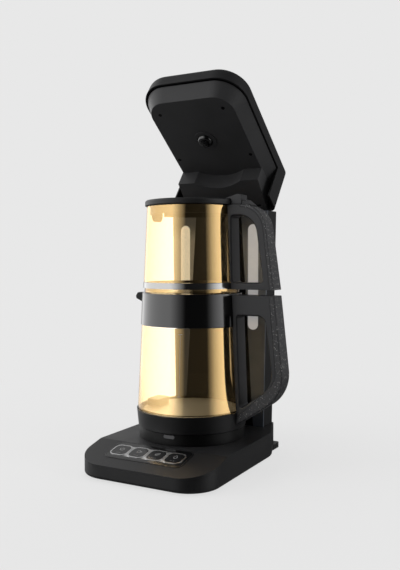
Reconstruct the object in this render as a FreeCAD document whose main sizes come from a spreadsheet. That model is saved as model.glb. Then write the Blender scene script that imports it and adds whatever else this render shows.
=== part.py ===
import FreeCAD, Part
import math
import os

import Sketcher
from FreeCAD import Placement, Rotation, Vector

# An automatic tea maker: a base with a column behind the pots, a hinged lid that
# showers hot water, a glass kettle and the glass teapot that stands on it.
# Millimetres. The pots share the Z axis, the floor is z = 0, the front is -Y and
# the handles point to +X. The lid stands open, as far as its hinge lets it.

SIZES = {
    # base
    "base_half_width": 97,
    "base_front": 146,
    "base_rear": 119,
    "base_shoulder": 57,
    "base_front_radius": 42,
    "base_shoulder_radius": 45,
    "base_rear_radius": 8,
    "base_bottom_radius": 4,
    "base_lift": 1.5,
    "base_floor": 2.5,
    "wall": 2.5,
    "deck_height": 35.5,
    "deck_thickness": 2.5,
    "slope_start": 82,
    "slope_angle": 13.2,
    "foot_inset": 14,
    "foot_width": 8,
    "base_screw_side": 66,
    "screw_radius": 3.2,
    "screw_shaft": 1.5,
    "screw_head_depth": 2,
    "boss_radius": 4,
    "screw_length": 9,
    "seat_gap": 0.2,
    "run_gap": 0.3,
    "pin_fit": 0.06,
    # control panel
    "panel_centre": -5,
    "panel_margin": 4.5,
    "panel_top": 1.5,
    "panel_bottom": 44.5,
    "panel_radius": 9,
    "panel_proud": 0.4,
    "key_centre": -6.5,
    "key_middle": 23.5,
    "key_pitch": 27,
    "ring_size": 26,
    "ring_radius": 8.5,
    "ring_band": 1.6,
    "ring_proud": 0.9,
    "key_proud": 0.8,
    "key_travel": 0.8,
    "key_depth": 1.8,
    "key_stem": 6,
    "key_stem_depth": 3.2,
    "switch_height": 3.2,
    "board_thickness": 1.6,
    "board_margin": 4,
    "post_radius": 2.5,
    # power disc and what lies in the base
    "disc_radius": 73.6,
    "disc_height": 15,
    "disc_wall": 3,
    "lens_centre": 6.6,
    "lens_half": 8,
    "lens_height": 4.4,
    "lens_proud": 0.4,
    "connector_radius": 11,
    "connector_rise": 7.5,
    "port_offset": 56,
    "port_radius": 7,
    "port_bore": 3.5,
    "pump_radius": 12,
    "pump_length": 26,
    "motor_length": 36,
    "pump_rear": 103,
    "hose_radius": 4,
    "hose_bore": 2.4,
    "hose_bend": 12,
    "riser_inset": 21.5,
    "riser_step": 3,
    "power_board_width": 50,
    "power_board_depth": 70,
    "power_board_left": 8,
    "power_board_front": 10,
    "power_board_lift": 3,
    "relay_size": 18,
    "relay_height": 12,
    "outlet_height": 9,
    "outlet_width": 20,
    "outlet_front": 84,
    "outlet_back": 112,
    "outlet_radius": 4,
    "outlet_reach": 86,
    "bushing_radius": 3,
    "bushing_bore": 1.8,
    "bushing_length": 10,
    # column
    "column_front": 80,
    "column_top_half": 79.3,
    "column_flare": 5.8,
    "column_top": 350,
    "column_rear_radius": 8,
    "column_post_side": 38,
    "column_post_low": 70,
    "column_post_drop": 32,
    "column_post_length": 31,
    "column_screw_length": 18,
    "window_inset": 16.8,
    "window_half": 8.25,
    "window_length": 154,
    "window_drop": 19,
    "light_board_thickness": 1.6,
    # hinge and lid
    "hinge_setback": 33,
    "hinge_rise": 12,
    "barrel_radius": 6,
    "barrel_half": 58,
    "pin_radius": 2.5,
    "pin_length": 15,
    "lid_angle": 37.4,
    "lid_overhang": 0.2,
    "lid_front": 202,
    "lid_rear": 6,
    "lid_rim": 45.5,
    "lid_depth": 22,
    "lid_front_radius": 41,
    "lid_rear_radius": 9,
    "lid_edge_radius": 8,
    "lid_wall": 2.3,
    "cheek_foot": 9,
    "cheek_length": 34,
    "inner_slope": 15.3,
    "inner_side_margin": 14.5,
    "inner_front_margin": 16,
    "inner_wall": 2.5,
    "inner_radius": 27.5,
    "inner_height": 25.5,
    "inner_floor": 2.5,
    "block_wall": 8,
    "block_front": 50,
    "block_front_foot": 2.5,
    "scallop_radius": 73.6,
    "nozzle_radius": 13.2,
    "nozzle_back": 112,
    "nozzle_flange": 16.5,
    "nozzle_flange_thickness": 1.4,
    "dome_radius": 11.3,
    "dome_drop": 7,
    "dome_round": 6.5,
    "shower_hole": 0.9,
    "shower_circle": 5,
    "lid_screw_front_inset": 20.3,
    "lid_screw_front_margin": 15.4,
    "lid_screw_rear": 77.7,
    "lid_screw_rear_margin": 6.5,
    "lid_screw_head": 2.6,
    "lid_screw_shaft": 1.4,
    "lid_screw_length": 14,
    "lid_boss_radius": 3.5,
    "lid_boss_foot": 28.2,
    "lid_hose_height": 46,
    "lid_hose_back": 22,
    # kettle
    "kettle_gap": 1,
    "kettle_bottom_radius": 74.8,
    "kettle_ring_height": 22.5,
    "kettle_ring_flare": 2.2,
    "kettle_ring_lip": 1.4,
    "kettle_glass_taper": 5.6,
    "glass_thickness": 2.4,
    "kettle_neck_step": 3,
    "kettle_seat_rise": 10.5,
    "plate_rise": 8.5,
    "plate_thickness": 1.5,
    "underside_step": 4.8,
    "underside_thickness": 2,
    "socket_radius": 18.8,
    "socket_depth": 8,
    "socket_height": 14,
    "heater_ring": 36,
    "heater_radius": 4,
    "thermostat_radius": 10,
    "valve_radius": 6,
    "hood_side": 46,
    "hood_width": 20,
    "hood_half": 15,
    "hood_height": 9,
    "hood_hole": 0.8,
    "hood_hole_pitch": 3,
    "kettle_glass_height": 116.3,
    "collar_height": 43.6,
    "collar_lip": 1.1,
    "collar_taper": 1.9,
    "collar_wall": 7.7,
    "collar_glass_step": 2,
    "collar_ledge_rise": 15.7,
    "spout_length": 22.8,
    "spout_tip_drop": 6.9,
    "spout_root_drop": 19.9,
    "spout_floor_drop": 18.9,
    "spout_half_width": 11,
    "spout_channel": 5,
    # handles
    "handle_half": 13,
    "handle_edge": 2,
    "grip_round": 4,
    "cover_screw_radius": 2,
    "handle_screw_length": 26,
    "kettle_screw_rise": 6,
    "kettle_screw_drop": 9,
    "kettle_handle_drop": 1.9,
    "kettle_handle_depth": 60.1,
    "kettle_bulge_depth": 14.5,
    "kettle_bulge_rise": 29.8,
    "kettle_handle_bulge_radius": 50,
    "kettle_foot_rise": 2.7,
    "kettle_foot_drop": 5.7,
    "kettle_cover_top": 7.5,
    "kettle_cover_bulge": 11.7,
    "kettle_cover_rise": 16.2,
    "kettle_seam_bulge_radius": 30,
    "kettle_cover_foot": 12.1,
    "kettle_seam_drop": 4.6,
    "kettle_grip_drop": 27,
    "kettle_frame_top": 6.2,
    "kettle_frame_bulge": 4.6,
    "kettle_frame_drop": 5.5,
    "kettle_grip_radius": 34,
    "kettle_grip_corner": 12,
    "kettle_grip_gap": 5.2,
    "kettle_grip_foot_gap": 4.7,
    "kettle_grip_foot_rise": 14,
    "teapot_handle_rise": 0.1,
    "teapot_handle_depth": 50.3,
    "teapot_handle_slant": 16,
    "teapot_handle_lift": 5.5,
    "teapot_handle_radius": 36,
    "teapot_edge": 1.5,
    "teapot_cover_top": 3.5,
    "teapot_seam_root": 17.7,
    "teapot_cover_reach": 3.1,
    "teapot_cover_foot": 6,
    "teapot_seam_radius": 33,
    "teapot_frame_top": 11,
    "teapot_frame_low": 9,
    "teapot_frame_reach": 9.2,
    "teapot_frame_foot": 9.5,
    "teapot_grip_radius": 26,
    "teapot_grip_corner": 5,
    "teapot_grip_gap": 1.8,
    "teapot_grip_top_gap": 4.1,
    # teapot
    "teapot_gap": 0.4,
    "teapot_plug_gap": 1,
    "teapot_plug_depth": 8,
    "teapot_foot_step": 5.5,
    "band_rise": 6.2,
    "band_height": 8,
    "band_wall": 1.6,
    "teapot_glass_lip": 1,
    "teapot_glass_height": 103.9,
    "teapot_taper": 4.7,
    "strainer_inset": 4.3,
    "strainer_half": 14,
    "strainer_drop": 18,
    "strainer_round": 8,
    "strainer_wall": 1.2,
    "strainer_pitch": 3.6,
    "strainer_hole": 0.9,
    # teapot lid
    "rim_lip": 2.7,
    "rim_height": 8,
    "skirt_gap": 4.3,
    "skirt_height": 11.4,
    "skirt_wall": 2.2,
    "teapot_hinge_out": 21.7,
    "teapot_hinge_rise": 3.6,
    "teapot_hinge_radius": 3.2,
    "teapot_pin_radius": 1.5,
    "block_tail_length": 10,
    "block_tail_drop": 5.1,
    "lever_peak_rise": 11,
    "lever_half": 9,
    "inlet_radius": 17,
    "inlet_drop": 5,
}

# Places and radii that follow from the sizes above.
FOLLOWING = {
    "panel_half_length": "key_pitch * 1.5 + ring_size / 2 + panel_margin",
    "column_foot_half": "column_top_half - column_flare",
    "riser_side": "column_foot_half - riser_inset",
    "window_offset": "column_foot_half - window_inset",
    "disc_top": "deck_height + disc_height",
    "connector_top": "disc_top + connector_rise",
    "column_post_high": "column_top - column_post_drop",
    "window_high": "column_top - window_drop",
    "window_low": "window_high - window_length",
    "hinge_back": "column_front + hinge_setback",
    "hinge_height": "column_top + hinge_rise",
    "lid_half_width": "column_top_half + lid_overhang",
    "lid_top": "lid_rim + lid_depth",
    "inner_half_width": "lid_half_width - inner_side_margin",
    "inner_front": "lid_front - inner_front_margin",
    "block_half": "barrel_half + block_wall",
    "lid_screw_front": "inner_front - lid_screw_front_inset",
    "lid_screw_front_side": "inner_half_width - lid_screw_front_margin",
    "lid_screw_rear_side": "inner_half_width - lid_screw_rear_margin",
    "kettle_bottom": "disc_top + kettle_gap",
    "kettle_ring_top": "kettle_bottom + kettle_ring_height",
    "kettle_ring_radius": "kettle_bottom_radius + kettle_ring_flare",
    "kettle_glass_low_radius": "kettle_ring_radius - kettle_ring_lip",
    "kettle_glass_high_radius": "kettle_glass_low_radius - kettle_glass_taper",
    "kettle_neck_radius": "kettle_glass_low_radius - kettle_neck_step",
    "kettle_seat": "kettle_bottom + kettle_seat_rise",
    "plate_height": "kettle_seat + plate_rise",
    "underside_radius": "kettle_neck_radius - underside_step",
    "collar_low": "kettle_ring_top + kettle_glass_height",
    "collar_top": "collar_low + collar_height",
    "collar_low_radius": "kettle_glass_high_radius + collar_lip",
    "collar_top_radius": "collar_low_radius - collar_taper",
    "collar_bore": "collar_top_radius - collar_wall",
    "collar_glass_radius": "kettle_glass_high_radius - collar_glass_step",
    "collar_ledge": "collar_low + collar_ledge_rise",
    "spout_reach": "collar_top_radius + spout_length",
    "spout_tip": "collar_top - spout_tip_drop",
    "spout_root_low": "collar_top - spout_root_drop",
    "spout_floor": "collar_top - spout_floor_drop",
    "kettle_handle_top": "collar_top - kettle_handle_drop",
    "kettle_handle_reach": "collar_top_radius + kettle_handle_depth",
    "kettle_handle_bulge": "kettle_handle_reach + kettle_bulge_depth",
    "kettle_handle_bulge_height": "kettle_ring_top + kettle_bulge_rise",
    "kettle_handle_foot": "kettle_bottom + kettle_foot_rise",
    "kettle_seam_reach": "kettle_handle_reach - kettle_cover_top",
    "kettle_seam_bulge": "kettle_handle_bulge - kettle_cover_bulge",
    "kettle_seam_bulge_height": "kettle_handle_bulge_height + kettle_cover_rise",
    "kettle_seam_foot": "kettle_handle_foot + kettle_cover_foot",
    "kettle_grip_top": "kettle_handle_top - kettle_grip_drop",
    "kettle_grip_reach": "kettle_seam_reach - kettle_frame_top",
    "kettle_grip_bulge": "kettle_seam_bulge - kettle_frame_bulge",
    "kettle_grip_bulge_height": "kettle_seam_bulge_height - kettle_frame_drop",
    "kettle_grip_root": "kettle_glass_high_radius + kettle_grip_gap",
    "kettle_grip_foot_reach": "kettle_glass_low_radius + kettle_grip_foot_gap",
    "kettle_grip_foot": "kettle_seam_foot + kettle_grip_foot_rise",
    "teapot_bottom": "collar_top + teapot_gap",
    "teapot_plug_radius": "collar_bore - teapot_plug_gap",
    "teapot_foot_radius": "teapot_plug_radius + teapot_foot_step",
    "band_low": "teapot_bottom + band_rise",
    "band_high": "band_low + band_height",
    "band_radius": "teapot_foot_radius + band_wall",
    "teapot_low_radius": "teapot_foot_radius + teapot_glass_lip",
    "teapot_top_radius": "teapot_low_radius - teapot_taper",
    "teapot_glass_top": "band_high + teapot_glass_height",
    "teapot_handle_top": "teapot_glass_top + teapot_handle_rise",
    "teapot_handle_low": "teapot_bottom + teapot_handle_lift",
    "teapot_handle_reach": "teapot_top_radius + teapot_handle_depth",
    "teapot_handle_foot": "teapot_handle_reach + teapot_handle_slant",
    "teapot_seam_top": "teapot_handle_top - teapot_cover_top",
    "teapot_seam_start": "teapot_top_radius + teapot_seam_root",
    "teapot_seam_reach": "teapot_handle_reach - teapot_cover_reach",
    "teapot_seam_foot": "teapot_handle_foot - teapot_cover_foot",
    "teapot_grip_top": "teapot_seam_top - teapot_frame_top",
    "teapot_grip_low": "teapot_handle_low + teapot_frame_low",
    "teapot_grip_reach": "teapot_seam_reach - teapot_frame_reach",
    "teapot_grip_foot": "teapot_seam_foot - teapot_frame_foot",
    "teapot_grip_root": "teapot_low_radius + teapot_grip_gap",
    "teapot_grip_top_root": "teapot_top_radius + teapot_grip_top_gap",
    "rim_radius": "teapot_top_radius + rim_lip",
    "skirt_radius": "teapot_top_radius - skirt_gap",
    "skirt_low": "teapot_glass_top - skirt_height",
    "strainer_offset": "teapot_top_radius - strainer_inset",
    "teapot_hinge_x": "teapot_top_radius + teapot_hinge_out",
    "teapot_hinge_height": "teapot_glass_top + teapot_hinge_rise",
    "block_tail": "teapot_hinge_x + block_tail_length",
    "block_tail_height": "teapot_hinge_height - block_tail_drop",
    "lever_peak_height": "teapot_hinge_height + lever_peak_rise",
}

doc = FreeCAD.newDocument("tea_maker")
sheet = doc.addObject("Spreadsheet::Sheet", "Sizes")
cells = [(alias, str(number)) for alias, number in SIZES.items()]
cells += [(alias, "=" + rule) for alias, rule in FOLLOWING.items()]
for row, (alias, content) in enumerate(cells, start=1):
    sheet.set(f"A{row}", alias)
    sheet.set(f"B{row}", content)
    sheet.setAlias(f"B{row}", alias)
doc.recompute()


class Length:
    """A number together with the sheet expression that gives it."""

    def __init__(self, value, text):
        self.value = float(value)
        self.text = text

    def __add__(self, other):
        return combine(self, "+", other, lambda a, b: a + b)

    def __radd__(self, other):
        return combine(other, "+", self, lambda a, b: a + b)

    def __sub__(self, other):
        return combine(self, "-", other, lambda a, b: a - b)

    def __rsub__(self, other):
        return combine(other, "-", self, lambda a, b: a - b)

    def __mul__(self, other):
        return combine(self, "*", other, lambda a, b: a * b)

    def __rmul__(self, other):
        return combine(other, "*", self, lambda a, b: a * b)

    def __truediv__(self, other):
        return combine(self, "/", other, lambda a, b: a / b)

    def __neg__(self):
        return combine(0, "-", self, lambda a, b: a - b)


def length(item):
    return item if isinstance(item, Length) else Length(item, f"{float(item):.6f}")


def combine(left, sign, right, rule):
    left, right = length(left), length(right)
    return Length(rule(left.value, right.value), f"({left.text} {sign} {right.text})")


def tangent(angle):
    return Length(math.tan(math.radians(angle.value)), f"tan({angle.text})")


def bind(thing, path, item):
    """Ties a property to the sheet; a plain number is tied as it is."""
    thing.setExpression(path, length(item).text)


class Sizes:
    """The sheet's cells by name, each as a Length."""

    def __getattr__(self, alias):
        return Length(sheet.get(alias), f"Sizes.{alias}")


S = Sizes()
pieces = []


def new_body(name):
    body = doc.addObject("PartDesign::Body", name)
    body.Label = name
    pieces.append(body)
    return body


def origin_plane(body, role):
    return next(f for f in body.Origin.OriginFeatures if f.Role == role + "_Plane")


def new_sketch(body, plane, lift=0):
    """An empty sketch on one of the body's planes, lifted along that plane's normal."""
    sketch = body.newObject("Sketcher::SketchObject", body.Name + "_sketch")
    sketch.AttachmentSupport = [(origin_plane(body, plane), "")]
    sketch.MapMode = "FlatFace"
    bind(sketch, "AttachmentOffset.Base.z", lift)
    return sketch


def hold_point(sketch, geometry, place, x, y):
    """Fixes a point at its two distances from the sketch's origin."""
    for kind, axis, item in (("DistanceX", -2, x), ("DistanceY", -1, y)):
        item = length(item)
        if item.value == 0 and "Sizes" not in item.text:
            sketch.addConstraint(Sketcher.Constraint("PointOnObject", geometry, place, axis))
            continue
        index = sketch.addConstraint(Sketcher.Constraint(kind, -1, 1, geometry, place, item.value))
        sketch.setExpression(f"Constraints[{index}]", item.text)


def tied_circle(sketch, geometry, radius):
    index = sketch.addConstraint(Sketcher.Constraint("Radius", geometry, radius.value))
    sketch.setExpression(f"Constraints[{index}]", radius.text)


def draw(sketch, points, closed=True):
    """Straight sides between points (x, y) or (x, y, radius); a radius rounds its corner."""
    corners = [tuple(length(item) for item in (*point, 0)[:3]) for point in points]
    spots = [Vector(x.value, y.value, 0) for x, y, radius in corners]
    count = len(corners)
    sides = count if closed else count - 1
    inner = range(count) if closed else range(1, count - 1)
    turns = [i for i in inner if corners[i][2].value > 0]
    trims = [0] * count
    for i in turns:
        before = (spots[i - 1] - spots[i]).normalize()
        after = (spots[(i + 1) % count] - spots[i]).normalize()
        trims[i] = corners[i][2].value / math.tan(before.getAngle(after) / 2)
    ends = []
    for i in range(sides):
        a, b = spots[i], spots[(i + 1) % count]
        way = (b - a).normalize()
        ends.append((a + way * trims[i], b - way * trims[(i + 1) % count]))
        sketch.addGeometry(Part.LineSegment(*ends[-1]), False)
    for i in turns:
        last, following = (i - 1) % sides, i
        start, stop = ends[last][1], ends[following][0]
        radius = corners[i][2]
        inward = ((start + stop) / 2 - spots[i]).normalize()
        centre = spots[i] + inward * math.hypot(radius.value, trims[i])
        leftward = (start - ends[last][0]).cross(stop - start).z > 0
        first, second = (start, stop) if leftward else (stop, start)
        angles = [math.atan2(p.y - centre.y, p.x - centre.x) for p in (first, second)]
        circle = Part.Circle(centre, Vector(0, 0, 1), radius.value)
        arc = sketch.addGeometry(Part.ArcOfCircle(circle, *angles), False)
        spot = sketch.addGeometry(Part.Point(spots[i]), True)
        near, away = (1, 2) if leftward else (2, 1)
        sketch.addConstraint(Sketcher.Constraint("Tangent", last, 2, arc, near))
        sketch.addConstraint(Sketcher.Constraint("Tangent", arc, away, following, 1))
        sketch.addConstraint(Sketcher.Constraint("PointOnObject", spot, 1, last))
        sketch.addConstraint(Sketcher.Constraint("PointOnObject", spot, 1, following))
        hold_point(sketch, spot, 1, *corners[i][:2])
        tied_circle(sketch, arc, radius)
    for i in inner:
        if i not in turns:
            sketch.addConstraint(Sketcher.Constraint("Coincident", (i - 1) % sides, 2, i, 1))
            hold_point(sketch, i, 1, *corners[i][:2])
    if not closed:
        hold_point(sketch, 0, 1, *corners[0][:2])
        hold_point(sketch, sides - 1, 2, *corners[-1][:2])
    return sketch


def outline(body, plane, points, lift=0):
    return draw(new_sketch(body, plane, lift), points)


def circles(body, plane, rounds, lift=0):
    """Circles given as (x, y, radius)."""
    sketch = new_sketch(body, plane, lift)
    for i, (x, y, radius) in enumerate(rounds):
        x, y, radius = length(x), length(y), length(radius)
        sketch.addGeometry(Part.Circle(Vector(x.value, y.value, 0), Vector(0, 0, 1), radius.value), False)
        hold_point(sketch, i, 3, x, y)
        tied_circle(sketch, i, radius)
    return sketch


def rounded(body, plane, boxes, lift=0):
    """Rectangles with round corners, each given as (left, right, low, high, radius)."""
    sketch = new_sketch(body, plane, lift)
    for left, right, low, high, radius in boxes:
        left, right, low, high, radius = (length(i) for i in (left, right, low, high, radius))
        first = sketch.GeometryCount
        x0, x1, y0, y1, r = left.value, right.value, low.value, high.value, radius.value
        sides = [
            ((x0 + r, y0), (x1 - r, y0)),
            ((x1, y0 + r), (x1, y1 - r)),
            ((x1 - r, y1), (x0 + r, y1)),
            ((x0, y1 - r), (x0, y0 + r)),
        ]
        centres = [(x1 - r, y0 + r), (x1 - r, y1 - r), (x0 + r, y1 - r), (x0 + r, y0 + r)]
        for a, b in sides:
            sketch.addGeometry(Part.LineSegment(Vector(*a, 0), Vector(*b, 0)), False)
        for i, centre in enumerate(centres):
            round_corner = Part.Circle(Vector(*centre, 0), Vector(0, 0, 1), r)
            start = math.radians(270 + 90 * i)
            sketch.addGeometry(Part.ArcOfCircle(round_corner, start, start + math.pi / 2), False)
        for i in range(4):
            arc = first + 4 + i
            sketch.addConstraint(Sketcher.Constraint("Tangent", first + i, 2, arc, 1))
            sketch.addConstraint(Sketcher.Constraint("Tangent", arc, 2, first + (i + 1) % 4, 1))
            way = "Horizontal" if i % 2 == 0 else "Vertical"
            sketch.addConstraint(Sketcher.Constraint(way, first + i))
        for i in range(1, 4):
            sketch.addConstraint(Sketcher.Constraint("Equal", first + 4, first + 4 + i))
        tied_circle(sketch, first + 4, radius)
        for kind, side, item in (
            ("DistanceY", 0, low),
            ("DistanceX", 1, right),
            ("DistanceY", 2, high),
            ("DistanceX", 3, left),
        ):
            index = sketch.addConstraint(Sketcher.Constraint(kind, -1, 1, first + side, 1, item.value))
            sketch.setExpression(f"Constraints[{index}]", item.text)
    return sketch


def grow(body, kind, sketch, size, middle=False, back=False):
    feature = body.newObject("PartDesign::" + kind, body.Name + "_" + kind.lower())
    feature.Profile = sketch
    bind(feature, "Length", size)
    if middle:
        feature.Midplane = True
    if back:
        feature.Reversed = True
    sketch.Visibility = False
    body.Tip = feature
    return feature


def pad(body, sketch, size, middle=False, back=False):
    """Adds along the sketch's normal, or against it."""
    return grow(body, "Pad", sketch, size, middle, back)


def pocket(body, sketch, size, middle=False, back=False):
    """Cuts against the sketch's normal, or along it."""
    doc.recompute()
    before = body.Shape.Volume
    feature = grow(body, "Pocket", sketch, size, middle, back)
    doc.recompute()
    if body.Shape.Volume > before - 1e-6:
        raise RuntimeError(f"{body.Name}: a pocket cuts nothing")
    return feature


def turn(body, sketch, kind="Revolution"):
    """A full turn about the sketch's upright axis."""
    feature = body.newObject("PartDesign::" + kind, body.Name + "_" + kind.lower())
    feature.Profile = sketch
    feature.ReferenceAxis = (sketch, ["V_Axis"])
    feature.Angle = 360
    body.Tip = feature
    return feature


def blend(body, radius, test):
    """Rounds each edge that the test picks."""
    doc.recompute()
    feature = body.Tip
    names = [f"Edge{i}" for i, edge in enumerate(feature.Shape.Edges, start=1) if test(edge)]
    if not names:
        raise RuntimeError(f"{body.Name}: no edge to round")
    fillet = body.newObject("PartDesign::Fillet", body.Name + "_fillet")
    fillet.Base = (feature, names)
    bind(fillet, "Radius", radius)
    body.Tip = fillet
    doc.recompute()
    if "Invalid" in fillet.State or not fillet.Shape.isValid():
        raise RuntimeError(f"{body.Name}: the edges can't be rounded")
    return fillet


def loft(body, kind, low, high):
    """Adds or cuts the straight-sided solid between two sketches of like shape."""
    feature = body.newObject("PartDesign::" + kind + "Loft", body.Name + "_loft")
    feature.Profile = low
    feature.Sections = [high]
    feature.Ruled = True
    body.Tip = feature
    return feature


def hose(name, plane, start, lift, path_plane, path_lift, points):
    """A tube of the hoses' size along a path whose corners are bent."""
    body = new_body(name)
    for kind, radius in (("Additive", S.hose_radius), ("Subtractive", S.hose_bore)):
        path = draw(new_sketch(body, path_plane, path_lift), points, closed=False)
        pipe = body.newObject("PartDesign::" + kind + "Pipe", name + "_pipe")
        pipe.Profile = circles(body, plane, [(*start, radius)], lift)
        pipe.Spine = (path, [f"Edge{i + 1}" for i in range(2 * len(points) - 3)])
        body.Tip = pipe
    return body


NEAR = 0.05


def level(axis, item):
    """A test for the edges that lie wholly at one height along an axis."""
    height = length(item).value

    def test(edge):
        box = edge.BoundBox
        low, high = (box.XMin, box.YMin, box.ZMin)[axis], (box.XMax, box.YMax, box.ZMax)[axis]
        return abs(low - height) < NEAR and abs(high - height) < NEAR

    return test


def trace(sketch, side):
    """A test for the edges that copy a sketch of the XZ plane at a distance to either side."""
    doc.recompute()
    far = length(side).value

    def test(edge):
        middle = edge.valueAt((edge.FirstParameter + edge.LastParameter) / 2)
        if abs(abs(middle.y) - far) > NEAR or edge.BoundBox.YLength > NEAR:
            return False
        spot = Part.Vertex(Vector(middle.x, 0, middle.z))
        return spot.distToShape(sketch.Shape)[0] < NEAR

    return test


def group(name, parts):
    """Several like solids kept in one piece."""
    compound = doc.addObject("Part::Compound", name)
    compound.Label = name
    compound.Links = parts
    pieces.append(compound)
    return compound


def cylinder(name, radius, size, x=0, y=0, z=0, turn_axis=None):
    """A Part cylinder on Z, or turned to lie along +X or +Y."""
    item = doc.addObject("Part::Cylinder", name)
    item.Label = name
    bind(item, "Radius", radius)
    bind(item, "Height", size)
    if turn_axis == "X":
        item.Placement.Rotation = Rotation(Vector(0, 1, 0), 90)
    if turn_axis == "Y":
        item.Placement.Rotation = Rotation(Vector(1, 0, 0), -90)
    for letter, place in zip("xyz", (x, y, z)):
        bind(item, "Placement.Base." + letter, place)
    return item


def keep(item):
    pieces.append(item)
    return item


def place_on_slope(body):
    """Puts a body in the frame of the sloping deck: its origin at the top of the slope."""
    body.Placement = Placement(Vector(0, 0, 0), Rotation(Vector(1, 0, 0), S.slope_angle.value))
    bind(body, "Placement.Rotation.Angle", S.slope_angle)
    bind(body, "Placement.Base.y", -S.slope_start)
    bind(body, "Placement.Base.z", S.deck_height)


def place_on_lid(item):
    """Puts a piece in the lid's frame: its origin on the hinge axis, level when closed."""
    item.Placement = Placement(Vector(0, 0, 0), Rotation(Vector(-1, 0, 0), S.lid_angle.value))
    bind(item, "Placement.Rotation.Angle", S.lid_angle)
    bind(item, "Placement.Base.y", S.hinge_back)
    bind(item, "Placement.Base.z", S.hinge_height)


# ---------------------------------------------------------------- base

FAR = 20  # how far a cutting outline reaches past what it cuts
front_top = S.deck_height - (S.base_front - S.slope_start) * tangent(S.slope_angle)
tail_half = S.column_foot_half + S.seat_gap
floor_top = S.base_lift + S.base_floor
base_width = S.base_half_width * 2 + FAR * 2


def plan(inset=0):
    """The base's plan, drawn in by the inset."""
    side = S.base_half_width - inset
    tail = tail_half - inset
    front = S.base_front - inset
    rear = S.base_rear - inset
    return [
        (-side, -front, S.base_front_radius - inset),
        (side, -front, S.base_front_radius - inset),
        (side, S.base_shoulder, S.base_shoulder_radius - inset),
        (tail, rear, S.base_rear_radius - inset),
        (-tail, rear, S.base_rear_radius - inset),
        (-side, S.base_shoulder, S.base_shoulder_radius - inset),
    ]


def deck_side(depth, edge):
    """The side outline between the deck, sunk by the depth, and an edge height."""
    past = tangent(S.slope_angle) * FAR
    return [
        (-S.base_front - FAR, edge),
        (S.base_rear + FAR, edge),
        (S.base_rear + FAR, S.deck_height - depth),
        (-S.slope_start, S.deck_height - depth),
        (-S.base_front - FAR, front_top - past - depth),
    ]


base_screw_places = [
    (x, y) for x in (-S.base_screw_side, S.base_screw_side) for y in (-S.slope_start / 2, S.base_shoulder)
]
board_left = S.power_board_left + S.board_margin
board_right = S.power_board_left + S.power_board_width - S.board_margin
board_front = S.power_board_front + S.board_margin
board_back = S.power_board_front + S.power_board_depth - S.board_margin
board_posts = [(x, y) for x in (board_left, board_right) for y in (board_front, board_back)]
screw_seat = S.base_lift + S.screw_head_depth

base_housing = new_body("base_housing")
pad(base_housing, outline(base_housing, "XY", plan(), S.base_lift), S.deck_height - S.base_lift)
blend(base_housing, S.base_bottom_radius, level(2, S.base_lift))
outlet_box = [
    (
        S.outlet_reach - S.outlet_width,
        S.outlet_reach,
        S.outlet_front,
        S.outlet_back,
        S.outlet_radius,
    )
]
pad(base_housing, rounded(base_housing, "XY", outlet_box, S.base_lift), S.outlet_height - S.base_lift)
pocket(base_housing, outline(base_housing, "XY", plan(S.wall), S.deck_height), S.deck_height - floor_top)
pocket(
    base_housing,
    outline(base_housing, "YZ", deck_side(S.deck_thickness + S.seat_gap, S.deck_height + FAR)),
    base_width,
    middle=True,
)
pad(
    base_housing,
    circles(base_housing, "XY", [(x, y, S.post_radius) for x, y in board_posts], floor_top - S.wall / 2),
    S.power_board_lift + S.wall / 2,
)
pocket(
    base_housing,
    circles(
        base_housing,
        "XY",
        [(x, y, S.screw_shaft + S.seat_gap) for x, y in base_screw_places],
        floor_top + 1,
    ),
    S.base_floor + 2,
)
pocket(
    base_housing,
    circles(
        base_housing,
        "XY",
        [(x, y, S.screw_radius + S.seat_gap) for x, y in base_screw_places],
        screw_seat,
    ),
    S.screw_head_depth + 1,
)
bushing_axis = (S.outlet_reach - S.outlet_width / 2 + 1, S.outlet_height / 2 + S.base_lift / 2)
pocket(
    base_housing,
    circles(base_housing, "XZ", [(*bushing_axis, S.bushing_radius + S.seat_gap)], -S.outlet_back - 1),
    S.bushing_length,
    back=True,
)

cable_bushing = new_body("cable_bushing")
pad(
    cable_bushing,
    circles(cable_bushing, "XZ", [(*bushing_axis, S.bushing_radius)], -S.outlet_back - S.seat_gap),
    S.bushing_length - 2,
)
pocket(
    cable_bushing,
    circles(cable_bushing, "XZ", [(*bushing_axis, S.bushing_bore)], -S.outlet_back - 1),
    S.bushing_length,
    back=True,
)

rubber_foot = new_body("rubber_foot")
pad(rubber_foot, outline(rubber_foot, "XY", plan(S.foot_inset)), S.base_lift)
pocket(
    rubber_foot,
    outline(rubber_foot, "XY", plan(S.foot_inset + S.foot_width), S.base_lift + 1),
    S.base_lift + 2,
)

base_screws = new_body("base_screws")
base_screws.AllowCompound = True
head_low = S.base_lift + S.seat_gap
pad(
    base_screws,
    circles(base_screws, "XY", [(x, y, S.screw_radius) for x, y in base_screw_places], head_low),
    S.screw_head_depth - S.seat_gap * 2,
)
pad(
    base_screws,
    circles(base_screws, "XY", [(x, y, S.screw_shaft) for x, y in base_screw_places], head_low),
    S.screw_length,
)

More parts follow.
